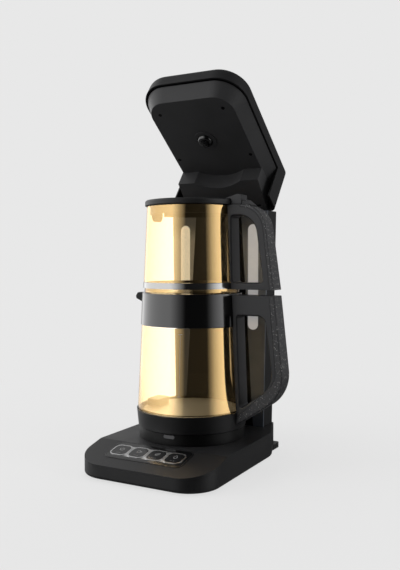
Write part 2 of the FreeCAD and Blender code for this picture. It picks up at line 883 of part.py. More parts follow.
base_top_cover = new_body("base_top_cover")
pad(base_top_cover, outline(base_top_cover, "XY", plan(), floor_top), S.deck_height - floor_top)
for depth, edge in ((0, S.deck_height + FAR), (S.deck_thickness, -FAR)):
    pocket(base_top_cover, outline(base_top_cover, "YZ", deck_side(depth, edge)), base_width, middle=True)
pad(
    base_top_cover,
    circles(
        base_top_cover,
        "XY",
        [(x, y, S.boss_radius) for x, y in base_screw_places],
        S.deck_height - S.deck_thickness / 2,
    ),
    S.deck_height - S.deck_thickness / 2 - floor_top - S.seat_gap,
    back=True,
)
pocket(
    base_top_cover,
    circles(
        base_top_cover,
        "XY",
        [(x, y, S.screw_shaft + S.seat_gap) for x, y in base_screw_places],
        head_low + S.screw_length + 1,
    ),
    S.screw_length,
)
pocket(
    base_top_cover,
    circles(
        base_top_cover,
        "XY",
        [
            (-S.port_offset, 0, S.port_radius + S.seat_gap),
            (-S.riser_side, S.pump_rear, S.hose_radius + S.seat_gap),
            (0, 0, S.connector_radius + S.seat_gap),
        ],
        S.deck_height + 1,
    ),
    S.deck_thickness + 2,
)
panel_left = S.panel_centre - S.panel_half_length
panel_right = S.panel_centre + S.panel_half_length
panel_box = (
    panel_left - S.seat_gap,
    panel_right + S.seat_gap,
    -S.panel_bottom - S.seat_gap,
    -S.panel_top + S.seat_gap,
    S.panel_radius,
)
panel_hole = rounded(base_top_cover, "XY", [panel_box])
panel_hole.AttachmentOffset = Placement(Vector(0, 0, 0), Rotation(Vector(1, 0, 0), S.slope_angle.value))
bind(panel_hole, "AttachmentOffset.Rotation.Angle", S.slope_angle)
bind(panel_hole, "AttachmentOffset.Base.y", -S.slope_start)
bind(panel_hole, "AttachmentOffset.Base.z", S.deck_height)
pocket(base_top_cover, panel_hole, S.deck_thickness * 2)

# ---------------------------------------------------------------- control panel

key_centres = [S.key_centre + (i - 1.5) * S.key_pitch for i in range(4)]


def key_squares(size, radius):
    """The four squares, centred on the keys, in the slope's frame."""
    half = size / 2
    return [(x - half, x + half, -S.key_middle - half, -S.key_middle + half, radius) for x in key_centres]


switch_top = -(S.key_stem_depth + S.key_travel + S.run_gap)
board_top = switch_top - S.switch_height
post_places = [
    (x, y)
    for x in (panel_left + S.board_margin * 2, panel_right - S.board_margin * 2)
    for y in (-S.panel_bottom + S.board_margin, -S.panel_top - S.board_margin)
]
opening_half = S.ring_size / 2 + S.seat_gap
control_panel = new_body("control_panel")
pad(
    control_panel,
    rounded(
        control_panel,
        "XY",
        [(panel_left, panel_right, -S.panel_bottom, -S.panel_top, S.panel_radius)],
        -S.deck_thickness,
    ),
    S.deck_thickness + S.panel_proud,
)
pad(
    control_panel,
    circles(control_panel, "XY", [(x, y, S.post_radius) for x, y in post_places], board_top + S.seat_gap),
    -(board_top + S.seat_gap) - S.deck_thickness / 2,
)
pocket(
    control_panel,
    rounded(
        control_panel,
        "XY",
        [
            (
                key_centres[0] - opening_half,
                key_centres[-1] + opening_half,
                -S.key_middle - opening_half,
                -S.key_middle + opening_half,
                S.ring_radius,
            )
        ],
        S.panel_proud + 1,
    ),
    S.deck_thickness + S.panel_proud + 2,
)
place_on_slope(control_panel)

key_rings = new_body("key_rings")
row_left = key_centres[0] - S.ring_size / 2
row_right = key_centres[-1] + S.ring_size / 2
row_front = -S.key_middle - S.ring_size / 2
row_back = -S.key_middle + S.ring_size / 2
pad(
    key_rings,
    rounded(key_rings, "XY", [(row_left, row_right, row_front, row_back, S.ring_radius)], -S.deck_thickness),
    S.deck_thickness,
)
pad(
    key_rings,
    rounded(key_rings, "XY", key_squares(S.ring_size, S.ring_radius), -S.wall / 2),
    S.wall / 2 + S.ring_proud,
)
pocket(
    key_rings,
    rounded(
        key_rings,
        "XY",
        key_squares(S.ring_size - S.ring_band * 2, S.ring_radius - S.ring_band),
        S.ring_proud + 1,
    ),
    S.deck_thickness + S.ring_proud + 2,
)
place_on_slope(key_rings)

cap_half = S.ring_size / 2 - S.ring_band - S.run_gap
cap_radius = S.ring_radius - S.ring_band - S.run_gap
stem_half = S.key_stem / 2
for number, x in enumerate(key_centres, start=1):
    key = new_body(f"key_{number}")
    middle = -S.key_middle
    cap = (x - cap_half, x + cap_half, middle - cap_half, middle + cap_half, cap_radius)
    stem = (x - stem_half, x + stem_half, middle - stem_half, middle + stem_half, stem_half / 3)
    pad(key, rounded(key, "XY", [cap], -S.key_depth), S.key_depth + S.key_proud)
    pad(key, rounded(key, "XY", [stem], -S.key_stem_depth), S.key_stem_depth - S.key_depth / 2)
    place_on_slope(key)

key_switches = new_body("key_switches")
key_switches.AllowCompound = True
pad(
    key_switches,
    rounded(key_switches, "XY", key_squares(S.key_stem, S.key_stem / 8), board_top),
    S.switch_height,
)
place_on_slope(key_switches)

control_board = new_body("control_board")
pad(
    control_board,
    rounded(
        control_board,
        "XY",
        [
            (
                panel_left + S.board_margin,
                panel_right - S.board_margin,
                -S.panel_bottom,
                -S.panel_top,
                S.board_margin,
            )
        ],
        board_top,
    ),
    S.board_thickness,
    back=True,
)
place_on_slope(control_board)

# ---------------------------------------------------------------- power disc, pump and boards

disc_low = S.deck_height + S.seat_gap
disc_under = S.disc_top - S.disc_wall
power_disc = new_body("power_disc")
turn(
    power_disc,
    outline(
        power_disc,
        "XZ",
        [
            (S.connector_radius + S.seat_gap, disc_under),
            (S.disc_radius - S.disc_wall, disc_under),
            (S.disc_radius - S.disc_wall, disc_low),
            (S.disc_radius, disc_low),
            (S.disc_radius, S.disc_top),
            (S.connector_radius + S.seat_gap, S.disc_top),
        ],
    ),
)
pocket(
    power_disc,
    circles(power_disc, "XY", [(-S.port_offset, 0, S.port_radius + S.seat_gap)], S.disc_top + 1),
    S.disc_wall + 2,
)
lens_left = S.lens_centre - S.lens_half
lens_right = S.lens_centre + S.lens_half
lens_round = S.lens_height / 2 - 0.1
lens_gap = S.seat_gap
lens_low = S.disc_top - S.lens_height - 1
lens_high = S.disc_top - 1
lens_hole = (
    lens_left - lens_gap,
    lens_right + lens_gap,
    lens_low - lens_gap,
    lens_high + lens_gap,
    lens_round,
)
lens_box = (lens_left, lens_right, lens_low, lens_high, lens_round)
pocket(power_disc, rounded(power_disc, "XZ", [lens_hole], S.disc_radius + 1), S.disc_wall * 2)

disc_lens = new_body("disc_lens")
pad(disc_lens, rounded(disc_lens, "XZ", [lens_box], S.disc_radius + S.lens_proud), S.disc_wall, back=True)

keep(
    cylinder(
        "power_connector",
        S.connector_radius,
        S.connector_top - S.deck_height + S.deck_thickness,
        z=S.deck_height - S.deck_thickness,
    )
)

port_low = S.deck_height - S.deck_thickness - S.port_bore
docking_port = new_body("docking_port")
pad(
    docking_port,
    circles(docking_port, "XY", [(-S.port_offset, 0, S.port_radius)], port_low),
    S.kettle_bottom - S.run_gap - port_low,
)
pocket(
    docking_port,
    circles(docking_port, "XY", [(-S.port_offset, 0, S.port_bore)], S.kettle_bottom),
    S.kettle_bottom - port_low + 1,
)

pump_middle = floor_top + S.seat_gap + S.pump_radius
pump_left = -S.riser_side - S.pump_length / 2
keep(cylinder("pump_body", S.pump_radius, S.pump_length, pump_left, S.pump_rear, pump_middle, "X"))
motor_left = pump_left + S.pump_length
keep(cylinder("pump_motor", S.pump_radius - 1, S.motor_length, motor_left, S.pump_rear, pump_middle, "X"))

hose(
    "inlet_hose",
    "XY",
    (-S.port_offset, 0),
    port_low - S.seat_gap,
    "YZ",
    -S.port_offset,
    [
        (0, port_low - S.seat_gap),
        (0, pump_middle, S.hose_bend),
        (S.pump_rear - S.pump_radius - S.seat_gap, pump_middle),
    ],
)
column_inside_top = S.column_top - S.wall
hose(
    "riser_hose",
    "XY",
    (-S.riser_side, S.pump_rear),
    pump_middle + S.pump_radius + S.seat_gap,
    "YZ",
    -S.riser_side,
    [
        (S.pump_rear, pump_middle + S.pump_radius + S.seat_gap),
        (S.pump_rear, S.window_high - S.hose_bend * 2, S.hose_bend),
        (S.hinge_back - S.riser_step, S.window_high, S.hose_bend),
        (S.hinge_back - S.riser_step, column_inside_top - S.seat_gap),
    ],
)

power_board = new_body("power_board")
board_low = floor_top + S.power_board_lift
pad(
    power_board,
    outline(
        power_board,
        "XY",
        [
            (S.power_board_left, S.power_board_front),
            (S.power_board_left + S.power_board_width, S.power_board_front),
            (S.power_board_left + S.power_board_width, S.power_board_front + S.power_board_depth),
            (S.power_board_left, S.power_board_front + S.power_board_depth),
        ],
        board_low,
    ),
    S.board_thickness,
)
relay_left = board_left + S.board_margin
relay_front = board_front + S.board_margin
pad(
    power_board,
    rounded(
        power_board,
        "XY",
        [(relay_left, relay_left + S.relay_size, relay_front, relay_front + S.relay_size, 1)],
        board_low + S.board_thickness / 2,
    ),
    S.relay_height,
)
pad(
    power_board,
    circles(
        power_board,
        "XY",
        [(relay_left + S.relay_size / 2, relay_front + S.relay_size * 2, S.relay_size / 3)],
        board_low + S.board_thickness / 2,
    ),
    S.relay_height,
)

# ---------------------------------------------------------------- column


def column_face(inset, low):
    """The column's face, narrower at the foot; drawn in at the sides and the top."""
    foot = S.column_foot_half - inset
    head = S.column_top_half - inset
    return [(-foot, low), (foot, low), (head, S.column_top - inset), (-head, S.column_top - inset)]


def window_slots(inset):
    half = S.window_half - inset
    return [
        (side - half, side + half, S.window_low + inset, S.window_high - inset, half - 0.2)
        for side in (-S.window_offset, S.window_offset)
    ]


post_heights = (S.column_post_low, S.column_post_high)
column_posts = [(x, z) for x in (-S.column_post_side, S.column_post_side) for z in post_heights]
column_back = S.column_front + S.wall
column_front_cover = new_body("column_front_cover")
pad(
    column_front_cover,
    outline(column_front_cover, "XZ", column_face(0, S.deck_height), -S.column_front),
    S.wall,
    back=True,
)
pad(
    column_front_cover,
    circles(column_front_cover, "XZ", [(x, z, S.boss_radius) for x, z in column_posts], -S.column_front - 1),
    S.column_post_length,
    back=True,
)
pocket(
    column_front_cover,
    circles(
        column_front_cover,
        "XZ",
        [(x, z, S.screw_shaft + S.seat_gap) for x, z in column_posts],
        -S.column_front - S.wall,
    ),
    S.column_post_length,
)
pocket(
    column_front_cover,
    rounded(column_front_cover, "XZ", window_slots(0), -S.column_front + 1),
    S.wall + 2,
)

shell_front = column_back + S.seat_gap
column_rear_shell = new_body("column_rear_shell")
pad(
    column_rear_shell,
    outline(column_rear_shell, "XZ", column_face(0, S.deck_height), -shell_front),
    S.base_rear - shell_front,
    back=True,
)


def rear_upright(edge):
    ends = [v.Point for v in edge.Vertexes]
    far = all(abs(p.y - S.base_rear.value) < NEAR for p in ends)
    return far and edge.BoundBox.ZLength > S.window_high.value / 2


blend(column_rear_shell, S.column_rear_radius, rear_upright)
pocket(
    column_rear_shell,
    outline(column_rear_shell, "XZ", column_face(S.wall, S.deck_height - 1), -shell_front),
    S.base_rear - S.wall - shell_front,
)
pocket(
    column_rear_shell,
    circles(
        column_rear_shell,
        "XZ",
        [(x, z, S.screw_shaft + S.seat_gap) for x, z in column_posts],
        -S.base_rear + S.wall + 1,
    ),
    S.wall + 2,
)
pocket(
    column_rear_shell,
    circles(
        column_rear_shell,
        "XZ",
        [(x, z, S.screw_radius + S.seat_gap) for x, z in column_posts],
        -S.base_rear + S.wall / 2,
    ),
    S.wall,
)

column_screws = new_body("column_screws")
column_screws.AllowCompound = True
pad(
    column_screws,
    circles(
        column_screws,
        "XZ",
        [(x, z, S.screw_radius) for x, z in column_posts],
        -S.base_rear + S.seat_gap,
    ),
    S.wall / 2 - S.seat_gap * 2,
)
pad(
    column_screws,
    circles(
        column_screws,
        "XZ",
        [(x, z, S.screw_shaft) for x, z in column_posts],
        -S.base_rear + S.seat_gap * 2,
    ),
    S.column_screw_length,
)

column_windows = new_body("column_windows")
column_windows.AllowCompound = True
pad(
    column_windows,
    rounded(column_windows, "XZ", window_slots(S.seat_gap), -S.column_front - S.seat_gap),
    S.wall - S.seat_gap,
    back=True,
)

light_boards = new_body("light_boards")
light_boards.AllowCompound = True
pad(
    light_boards,
    rounded(light_boards, "XZ", window_slots(S.wall / 2), -shell_front - S.seat_gap),
    S.light_board_thickness,
    back=True,
)

# ---------------------------------------------------------------- hinge

hinge_barrel = new_body("hinge_barrel")
pad(
    hinge_barrel,
    circles(hinge_barrel, "YZ", [(S.hinge_back, S.hinge_height, S.barrel_radius)]),
    S.barrel_half * 2,
    middle=True,
)
web_half = S.barrel_radius - 1
pad(
    hinge_barrel,
    outline(
        hinge_barrel,
        "YZ",
        [
            (S.hinge_back - web_half, S.column_top),
            (S.hinge_back + web_half, S.column_top),
            (S.hinge_back + web_half, S.hinge_height),
            (S.hinge_back - web_half, S.hinge_height),
        ],
    ),
    S.barrel_half * 2,
    middle=True,
)
pocket(
    hinge_barrel,
    circles(hinge_barrel, "YZ", [(S.hinge_back, S.hinge_height, S.pin_radius + S.seat_gap)]),
    S.barrel_half * 2 + 2,
    middle=True,
)

hinge_pins = new_body("hinge_pins")
hinge_pins.AllowCompound = True
pin_circle = [(S.hinge_back, S.hinge_height, S.pin_radius)]
pin_start = S.block_half - S.pin_length
pad(hinge_pins, circles(hinge_pins, "YZ", pin_circle, pin_start), S.pin_length)
pad(hinge_pins, circles(hinge_pins, "YZ", pin_circle, -S.block_half), S.pin_length)
pocket(
    hinge_pins,
    circles(hinge_pins, "YZ", [(S.hinge_back, S.hinge_height, S.pin_radius / 2)]),
    S.block_half * 2 + 2,
    middle=True,
)

hinge_damper = new_body("hinge_damper")
pad(hinge_damper, circles(hinge_damper, "YZ", pin_circle), (pin_start - S.seat_gap) * 2, middle=True)

# ---------------------------------------------------------------- lid, drawn closed in its own frame

lid_ceiling = S.lid_top - S.lid_wall


def lid_plan(inset=0):
    side = S.lid_half_width - inset
    front = S.lid_front - inset
    rear = S.lid_rear - inset
    return [
        (-side, -front, S.lid_front_radius - inset),
        (side, -front, S.lid_front_radius - inset),
        (side, rear, S.lid_rear_radius - inset),
        (-side, rear, S.lid_rear_radius - inset),
    ]


lid_screw_places = [
    (side, -back)
    for side, back in (
        (-S.lid_screw_front_side, S.lid_screw_front),
        (S.lid_screw_front_side, S.lid_screw_front),
        (-S.lid_screw_rear_side, S.lid_screw_rear),
        (S.lid_screw_rear_side, S.lid_screw_rear),
    )
]
barrel_room = S.barrel_radius + 0.6
barrel_cut = [
    (-barrel_room, -S.cheek_foot - FAR),
    (FAR, -S.cheek_foot - FAR),
    (FAR, barrel_room),
    (-barrel_room, barrel_room),
]
barrel_cut_width = S.barrel_half * 2 + 1

lid_cover = new_body("lid_cover")
pad(lid_cover, outline(lid_cover, "XY", lid_plan(), -S.cheek_foot), S.lid_top + S.cheek_foot)
blend(lid_cover, S.lid_edge_radius, level(2, S.lid_top))
lid_step = S.lid_edge_radius / 2
for inset, top in ((S.lid_wall, lid_ceiling - lid_step), (S.lid_wall + lid_step, lid_ceiling)):
    pocket(lid_cover, outline(lid_cover, "XY", lid_plan(inset), top), top + S.cheek_foot + 1)
pocket(
    lid_cover,
    outline(
        lid_cover,
        "YZ",
        [
            (-S.lid_front - FAR, -S.cheek_foot - FAR),
            (S.lid_rear - S.cheek_length, -S.cheek_foot - FAR),
            (S.lid_rear - S.cheek_length, S.lid_rim),
            (-S.lid_front - FAR, S.lid_rim),
        ],
    ),
    S.lid_half_width * 2 + FAR,
    middle=True,
)
pocket(lid_cover, outline(lid_cover, "YZ", barrel_cut), barrel_cut_width, middle=True)
pad(
    lid_cover,
    circles(lid_cover, "XY", [(x, y, S.lid_boss_radius) for x, y in lid_screw_places], S.lid_boss_foot),
    lid_ceiling - S.lid_boss_foot + 1,
)
pocket(
    lid_cover,
    circles(
        lid_cover,
        "XY",
        [(x, y, S.lid_screw_shaft + S.seat_gap) for x, y in lid_screw_places],
        S.lid_boss_foot + S.lid_screw_length + 1,
    ),
    S.lid_screw_length + 2,
)
place_on_lid(lid_cover)


def inner_plan(grown, rear):
    """The inner panel's plan, grown at the front and the sides only."""
    side = S.inner_half_width + grown
    front = S.inner_front + grown
    return [
        (-side, -front, S.inner_radius + grown),
        (side, -front, S.inner_radius + grown),
        (side, rear, S.lid_rear_radius),
        (-side, rear, S.lid_rear_radius),
    ]


inner_rear = S.lid_rear - S.lid_wall - S.seat_gap
inner_top = S.lid_rim - S.seat_gap
flare = S.inner_slope * (inner_top - S.inner_height) / S.inner_height
inner_ceiling = S.inner_height + S.inner_floor
ceiling_flare = S.inner_slope * S.inner_floor / S.inner_height - S.inner_wall
lid_inner_panel = new_body("lid_inner_panel")
loft(
    lid_inner_panel,
    "Additive",
    outline(lid_inner_panel, "XY", inner_plan(length(0), inner_rear), S.inner_height),
    outline(lid_inner_panel, "XY", inner_plan(flare, inner_rear), inner_top),
)
loft(
    lid_inner_panel,
    "Subtractive",
    outline(lid_inner_panel, "XY", inner_plan(ceiling_flare, inner_rear - S.inner_wall), inner_ceiling),
    outline(lid_inner_panel, "XY", inner_plan(flare - S.inner_wall, inner_rear - S.inner_wall), inner_top),
)
pad(
    lid_inner_panel,
    outline(
        lid_inner_panel,
        "YZ",
        [
            (-S.block_front, inner_ceiling - 1),
            (-S.block_front, S.block_front_foot),
            (inner_rear, -S.cheek_foot),
            (inner_rear, inner_ceiling - 1),
        ],
    ),
    S.block_half * 2,
    middle=True,
)
pocket(
    lid_inner_panel,
    circles(lid_inner_panel, "XY", [(0, -S.hinge_back, S.scallop_radius)], S.inner_height),
    S.inner_height + S.cheek_foot + 1,
)
cavity_half = S.barrel_half - S.inner_wall
cavity_front = S.scallop_radius - S.hinge_back + S.inner_wall
for back, low in (
    (inner_rear - S.inner_wall, barrel_room + S.inner_wall),
    (-barrel_room - S.inner_wall, S.block_front_foot + S.inner_wall / 2),
):
    pocket(
        lid_inner_panel,
        outline(
            lid_inner_panel,
            "XY",
            [
                (-cavity_half, cavity_front),
                (cavity_half, cavity_front),
                (cavity_half, back),
                (-cavity_half, back),
            ],
            inner_top,
        ),
        inner_top - low,
    )
pocket(lid_inner_panel, outline(lid_inner_panel, "YZ", barrel_cut), barrel_cut_width, middle=True)
pocket(
    lid_inner_panel,
    circles(lid_inner_panel, "YZ", [(0, 0, S.pin_radius + S.pin_fit)]),
    S.lid_half_width * 2,
    middle=True,
)
nozzle_place = (0, -S.nozzle_back)
pocket(
    lid_inner_panel,
    circles(
        lid_inner_panel,
        "XY",
        [(*nozzle_place, S.nozzle_radius + S.seat_gap)]
        + [(x, y, S.lid_screw_shaft + S.seat_gap) for x, y in lid_screw_places],
        inner_ceiling + 1,
    ),
    S.inner_floor + 2,
)
screw_seat_lid = S.inner_height + S.inner_floor / 2
pocket(
    lid_inner_panel,
    circles(
        lid_inner_panel,
        "XY",
        [(x, y, S.lid_screw_head + S.seat_gap) for x, y in lid_screw_places],
        screw_seat_lid,
    ),
    S.inner_floor,
)
place_on_lid(lid_inner_panel)

lid_screws = new_body("lid_screws")
lid_screws.AllowCompound = True
pad(
    lid_screws,
    circles(
        lid_screws,
        "XY",
        [(x, y, S.lid_screw_head) for x, y in lid_screw_places],
        S.inner_height + S.seat_gap / 2,
    ),
    S.inner_floor / 2 - S.seat_gap,
)
pad(
    lid_screws,
    circles(lid_screws, "XY", [(x, y, S.lid_screw_shaft) for x, y in lid_screw_places], S.inner_height + 1),
    S.lid_screw_length,
)
place_on_lid(lid_screws)

nozzle_ring = new_body("nozzle_ring")
pad(
    nozzle_ring,
    circles(nozzle_ring, "XY", [(*nozzle_place, S.nozzle_flange)], S.inner_height),
    S.nozzle_flange_thickness,
    back=True,
)
pad(
    nozzle_ring,
    circles(
        nozzle_ring,
        "XY",
        [(*nozzle_place, S.nozzle_radius)],
        S.inner_height - S.nozzle_flange_thickness / 2,
    ),
    S.inner_floor + S.nozzle_flange_thickness,
)
pocket(
    nozzle_ring,
    circles(nozzle_ring, "XY", [(*nozzle_place, S.dome_radius + S.seat_gap)], inner_ceiling + FAR),
    FAR * 2,
)
place_on_lid(nozzle_ring)

nozzle_dome = new_body("nozzle_dome")
dome_top = inner_ceiling + S.nozzle_flange_thickness
pad(
    nozzle_dome,
    circles(nozzle_dome, "XY", [(*nozzle_place, S.dome_radius)], S.inner_height - S.dome_drop),
    dome_top - S.inner_height + S.dome_drop,
)
blend(nozzle_dome, S.dome_round, level(2, S.inner_height - S.dome_drop))
shower = [(0, -S.nozzle_back, S.shower_hole)]
for i in range(6):
    turned = 60 * i
    across = S.shower_circle * round(math.cos(math.radians(turned)), 6)
    ahead = S.shower_circle * round(math.sin(math.radians(turned)), 6)
    shower.append((across, ahead - S.nozzle_back, S.shower_hole))
pocket(nozzle_dome, circles(nozzle_dome, "XY", shower, S.inner_height - S.dome_drop + 2), S.dome_drop)
place_on_lid(nozzle_dome)

lid_hose = hose(
    "lid_hose",
    "XY",
    nozzle_place,
    dome_top + S.seat_gap,
    "YZ",
    0,
    [
        (-S.nozzle_back, dome_top + S.seat_gap),
        (-S.nozzle_back, S.lid_hose_height, S.hose_bend),
        (-S.lid_hose_back, S.lid_hose_height, S.hose_bend),
        (-S.lid_hose_back, barrel_room + S.inner_wall + S.seat_gap),
    ],
)
place_on_lid(lid_hose)

# ---------------------------------------------------------------- kettle

seat = S.kettle_seat
collar_under = S.collar_low - S.seat_gap
waist = S.collar_glass_radius
kettle_glass = new_body("kettle_glass")
turn(
    kettle_glass,
    outline(
        kettle_glass,
        "XZ",
        [
            (S.kettle_neck_radius - S.glass_thickness, seat),
            (S.kettle_neck_radius, seat),
            (S.kettle_neck_radius, S.kettle_ring_top + S.seat_gap),
            (S.kettle_glass_low_radius, S.kettle_ring_top + S.seat_gap),
            (S.kettle_glass_high_radius, collar_under),
            (waist, collar_under),
            (waist, S.collar_ledge - 1),
            (waist - S.glass_thickness, S.collar_ledge - 1),
            (S.kettle_glass_high_radius - S.glass_thickness, collar_under - S.glass_thickness),
            (S.kettle_glass_low_radius - S.glass_thickness, S.kettle_ring_top + S.glass_thickness),
            (S.kettle_neck_radius - S.glass_thickness, S.kettle_ring_top),
        ],
    ),
)

ledge_radius = S.underside_radius + S.seat_gap
kettle_base_ring = new_body("kettle_base_ring")
turn(
    kettle_base_ring,
    outline(
        kettle_base_ring,
        "XZ",
        [
            (ledge_radius, S.kettle_bottom),
            (S.kettle_bottom_radius, S.kettle_bottom),
            (S.kettle_ring_radius, S.kettle_ring_top),
            (S.kettle_neck_radius + S.seat_gap, S.kettle_ring_top),
            (S.kettle_neck_radius + S.seat_gap, seat - S.seat_gap),
            (ledge_radius, seat - S.seat_gap),
        ],
    ),
)

plate_radius = S.kettle_neck_radius - S.glass_thickness - S.seat_gap
valve_outer = S.valve_radius
kettle_seal = new_body("kettle_seal")
turn(
    kettle_seal,
    outline(
        kettle_seal,
        "XZ",
        [
            (S.underside_radius - S.glass_thickness, seat),
            (plate_radius, seat),
            (plate_radius, S.plate_height),
            (S.underside_radius - S.glass_thickness, S.plate_height),
        ],
    ),
)

heater_plate = new_body("heater_plate")
pad(heater_plate, circles(heater_plate, "XY", [(0, 0, plate_radius)], S.plate_height), S.plate_thickness)
pocket(
    heater_plate,
    circles(heater_plate, "XY", [(-S.port_offset, 0, S.port_bore)], S.plate_height + S.plate_thickness + 1),
    S.plate_thickness + 2,
)

heating_element = doc.addObject("Part::Torus", "heating_element")
heating_element.Label = "heating_element"
bind(heating_element, "Radius1", S.heater_ring)
bind(heating_element, "Radius2", S.heater_radius)
bind(heating_element, "Placement.Base.z", S.plate_height - S.heater_radius - S.seat_gap)
keep(heating_element)

socket_top = S.kettle_bottom + S.socket_height
keep(
    cylinder(
        "thermostat",
        S.thermostat_radius,
        S.plate_height - socket_top - S.seat_gap * 2,
        z=socket_top + S.seat_gap,
    )
)

kettle_socket = new_body("kettle_socket")
pad(kettle_socket, circles(kettle_socket, "XY", [(0, 0, S.socket_radius)], S.kettle_bottom), S.socket_height)
pocket(
    kettle_socket,
    circles(kettle_socket, "XY", [(0, 0, S.connector_radius + 1)], S.kettle_bottom + S.socket_depth),
    S.socket_depth + 1,
)

kettle_underside = new_body("kettle_underside")
pad(
    kettle_underside,
    circles(kettle_underside, "XY", [(0, 0, S.underside_radius)], S.kettle_bottom),
    S.underside_thickness,
)
pocket(
    kettle_underside,
    circles(
        kettle_underside,
        "XY",
        [(0, 0, S.socket_radius + S.seat_gap), (-S.port_offset, 0, valve_outer + S.seat_gap)],
        S.kettle_bottom + S.underside_thickness + 1,
    ),
    S.underside_thickness + 2,
)

outlet_valve = new_body("outlet_valve")
pad(
    outlet_valve,
    circles(outlet_valve, "XY", [(-S.port_offset, 0, valve_outer)], S.kettle_bottom),
    S.plate_height - S.seat_gap - S.kettle_bottom,
)
pocket(
    outlet_valve,
    circles(outlet_valve, "XY", [(-S.port_offset, 0, S.port_bore)], S.plate_height),
    S.plate_height - S.kettle_bottom + 1,
)

hood_low = S.plate_height + S.plate_thickness + S.seat_gap
hood_left = -S.hood_side - S.hood_width
outlet_hood = new_body("outlet_hood")
pad(
    outlet_hood,
    rounded(outlet_hood, "XY", [(hood_left, -S.hood_side, -S.hood_half, S.hood_half, 3)], hood_low),
    S.hood_height,
)
hood_inside = (
    hood_left + S.strainer_wall,
    -S.hood_side - S.strainer_wall,
    -S.hood_half + S.strainer_wall,
    S.hood_half - S.strainer_wall,
    2,
)
pocket(
    outlet_hood,
    rounded(outlet_hood, "XY", [hood_inside], hood_low + S.hood_height - S.strainer_wall),
    S.hood_height,
)
pocket(
    outlet_hood,
    circles(
        outlet_hood,
        "YZ",
        [
            (y * S.hood_hole_pitch, hood_low + (row + 1) * S.hood_hole_pitch, S.hood_hole)
            for y in range(-4, 5)
            for row in range(2)
        ],
    ),
    S.hood_side * 4,
    middle=True,
)

kettle_collar = new_body("kettle_collar")
turn(
    kettle_collar,
    outline(
        kettle_collar,
        "XZ",
        [
            (waist + S.seat_gap, S.collar_low),
            (S.collar_low_radius, S.collar_low),
            (S.collar_top_radius, S.collar_top),
            (S.collar_bore, S.collar_top),
            (S.collar_bore, S.collar_ledge),
            (waist + S.seat_gap, S.collar_ledge),
        ],
    ),
)
pocket(
    kettle_collar,
    rounded(
        kettle_collar,
        "YZ",
        [(-S.spout_channel, S.spout_channel, S.spout_floor, S.spout_floor + S.spout_channel * 2, 3)],
        -S.collar_bore + S.wall * 2,
    ),
    FAR,
)
kettle_screw_heights = [S.collar_ledge + S.kettle_screw_rise, S.collar_top - S.kettle_screw_drop]
pocket(
    kettle_collar,
    circles(
        kettle_collar,
        "YZ",
        [(0, z, S.cover_screw_radius + S.seat_gap) for z in kettle_screw_heights],
        S.collar_bore + 2,
    ),
    FAR,
    back=True,
)

collar_skin = S.seat_gap
kettle_spout = new_body("kettle_spout")
pad(
    kettle_spout,
    outline(
        kettle_spout,
        "XZ",
        [
            (-S.collar_bore, S.spout_root_low),
            (-S.spout_reach + 1, S.spout_tip - 3.5),
            (-S.spout_reach, S.spout_tip),
            (-S.spout_reach + 3.5, S.spout_tip + 4.5),
            (-S.spout_reach + 7, S.spout_tip + 5.5),
            (-S.collar_bore, S.spout_tip + 6),
        ],
    ),
    S.spout_half_width * 2,
    middle=True,
)
tip_half = S.spout_half_width / 4
for side in (-1, 1):
    pocket(
        kettle_spout,
        outline(
            kettle_spout,
            "XY",
            [
                (-S.collar_top_radius, side * S.spout_half_width),
                (-S.spout_reach, side * tip_half),
                (-S.spout_reach - FAR, side * tip_half),
                (-S.spout_reach - FAR, side * (S.spout_half_width + FAR)),
                (-S.collar_top_radius, side * (S.spout_half_width + FAR)),
            ],
            S.collar_top + FAR,
        ),
        S.collar_top,
    )
pocket(
    kettle_spout,
    outline(
        kettle_spout,
        "XY",
        [
            (-S.collar_bore, -S.spout_channel),
            (-S.collar_bore, S.spout_channel),
            (-S.spout_reach - 1, 1),
            (-S.spout_reach - 1, -1),
        ],
        S.collar_top + 1,
    ),
    S.collar_top + 1 - S.spout_floor - S.spout_channel,
)
turn(
    kettle_spout,
    outline(
        kettle_spout,
        "XZ",
        [
            (0, S.collar_low),
            (S.collar_low_radius + collar_skin, S.collar_low),
            (S.collar_top_radius + collar_skin, S.collar_top),
            (S.collar_top_radius + collar_skin, S.collar_top + FAR),
            (0, S.collar_top + FAR),
        ],
    ),
    "Groove",
)

# ---------------------------------------------------------------- kettle handle

seam_gap = 0.25
kettle_pot = [
    (0, S.kettle_bottom - FAR),
    (S.kettle_bottom_radius + S.seat_gap, S.kettle_bottom - FAR),
    (S.kettle_bottom_radius + S.seat_gap, S.kettle_bottom),
    (S.kettle_ring_radius + S.seat_gap, S.kettle_ring_top),
    (S.kettle_glass_low_radius + S.seat_gap, S.kettle_ring_top + 1),
    (S.kettle_glass_high_radius + S.seat_gap, S.collar_low - 1),
    (S.collar_low_radius + S.seat_gap, S.collar_low - 1),
    (S.collar_top_radius + S.seat_gap, S.collar_top),
    (0, S.collar_top),
]


def kettle_seam(shift):
    """The line between the handle and its cover, from the top down to the foot."""
    return [
        (S.kettle_seam_reach + shift, S.kettle_handle_top),
        (S.kettle_seam_bulge + shift, S.kettle_seam_bulge_height, S.kettle_seam_bulge_radius),
        (S.collar_top_radius + shift, S.kettle_seam_foot - S.kettle_seam_drop),
    ]


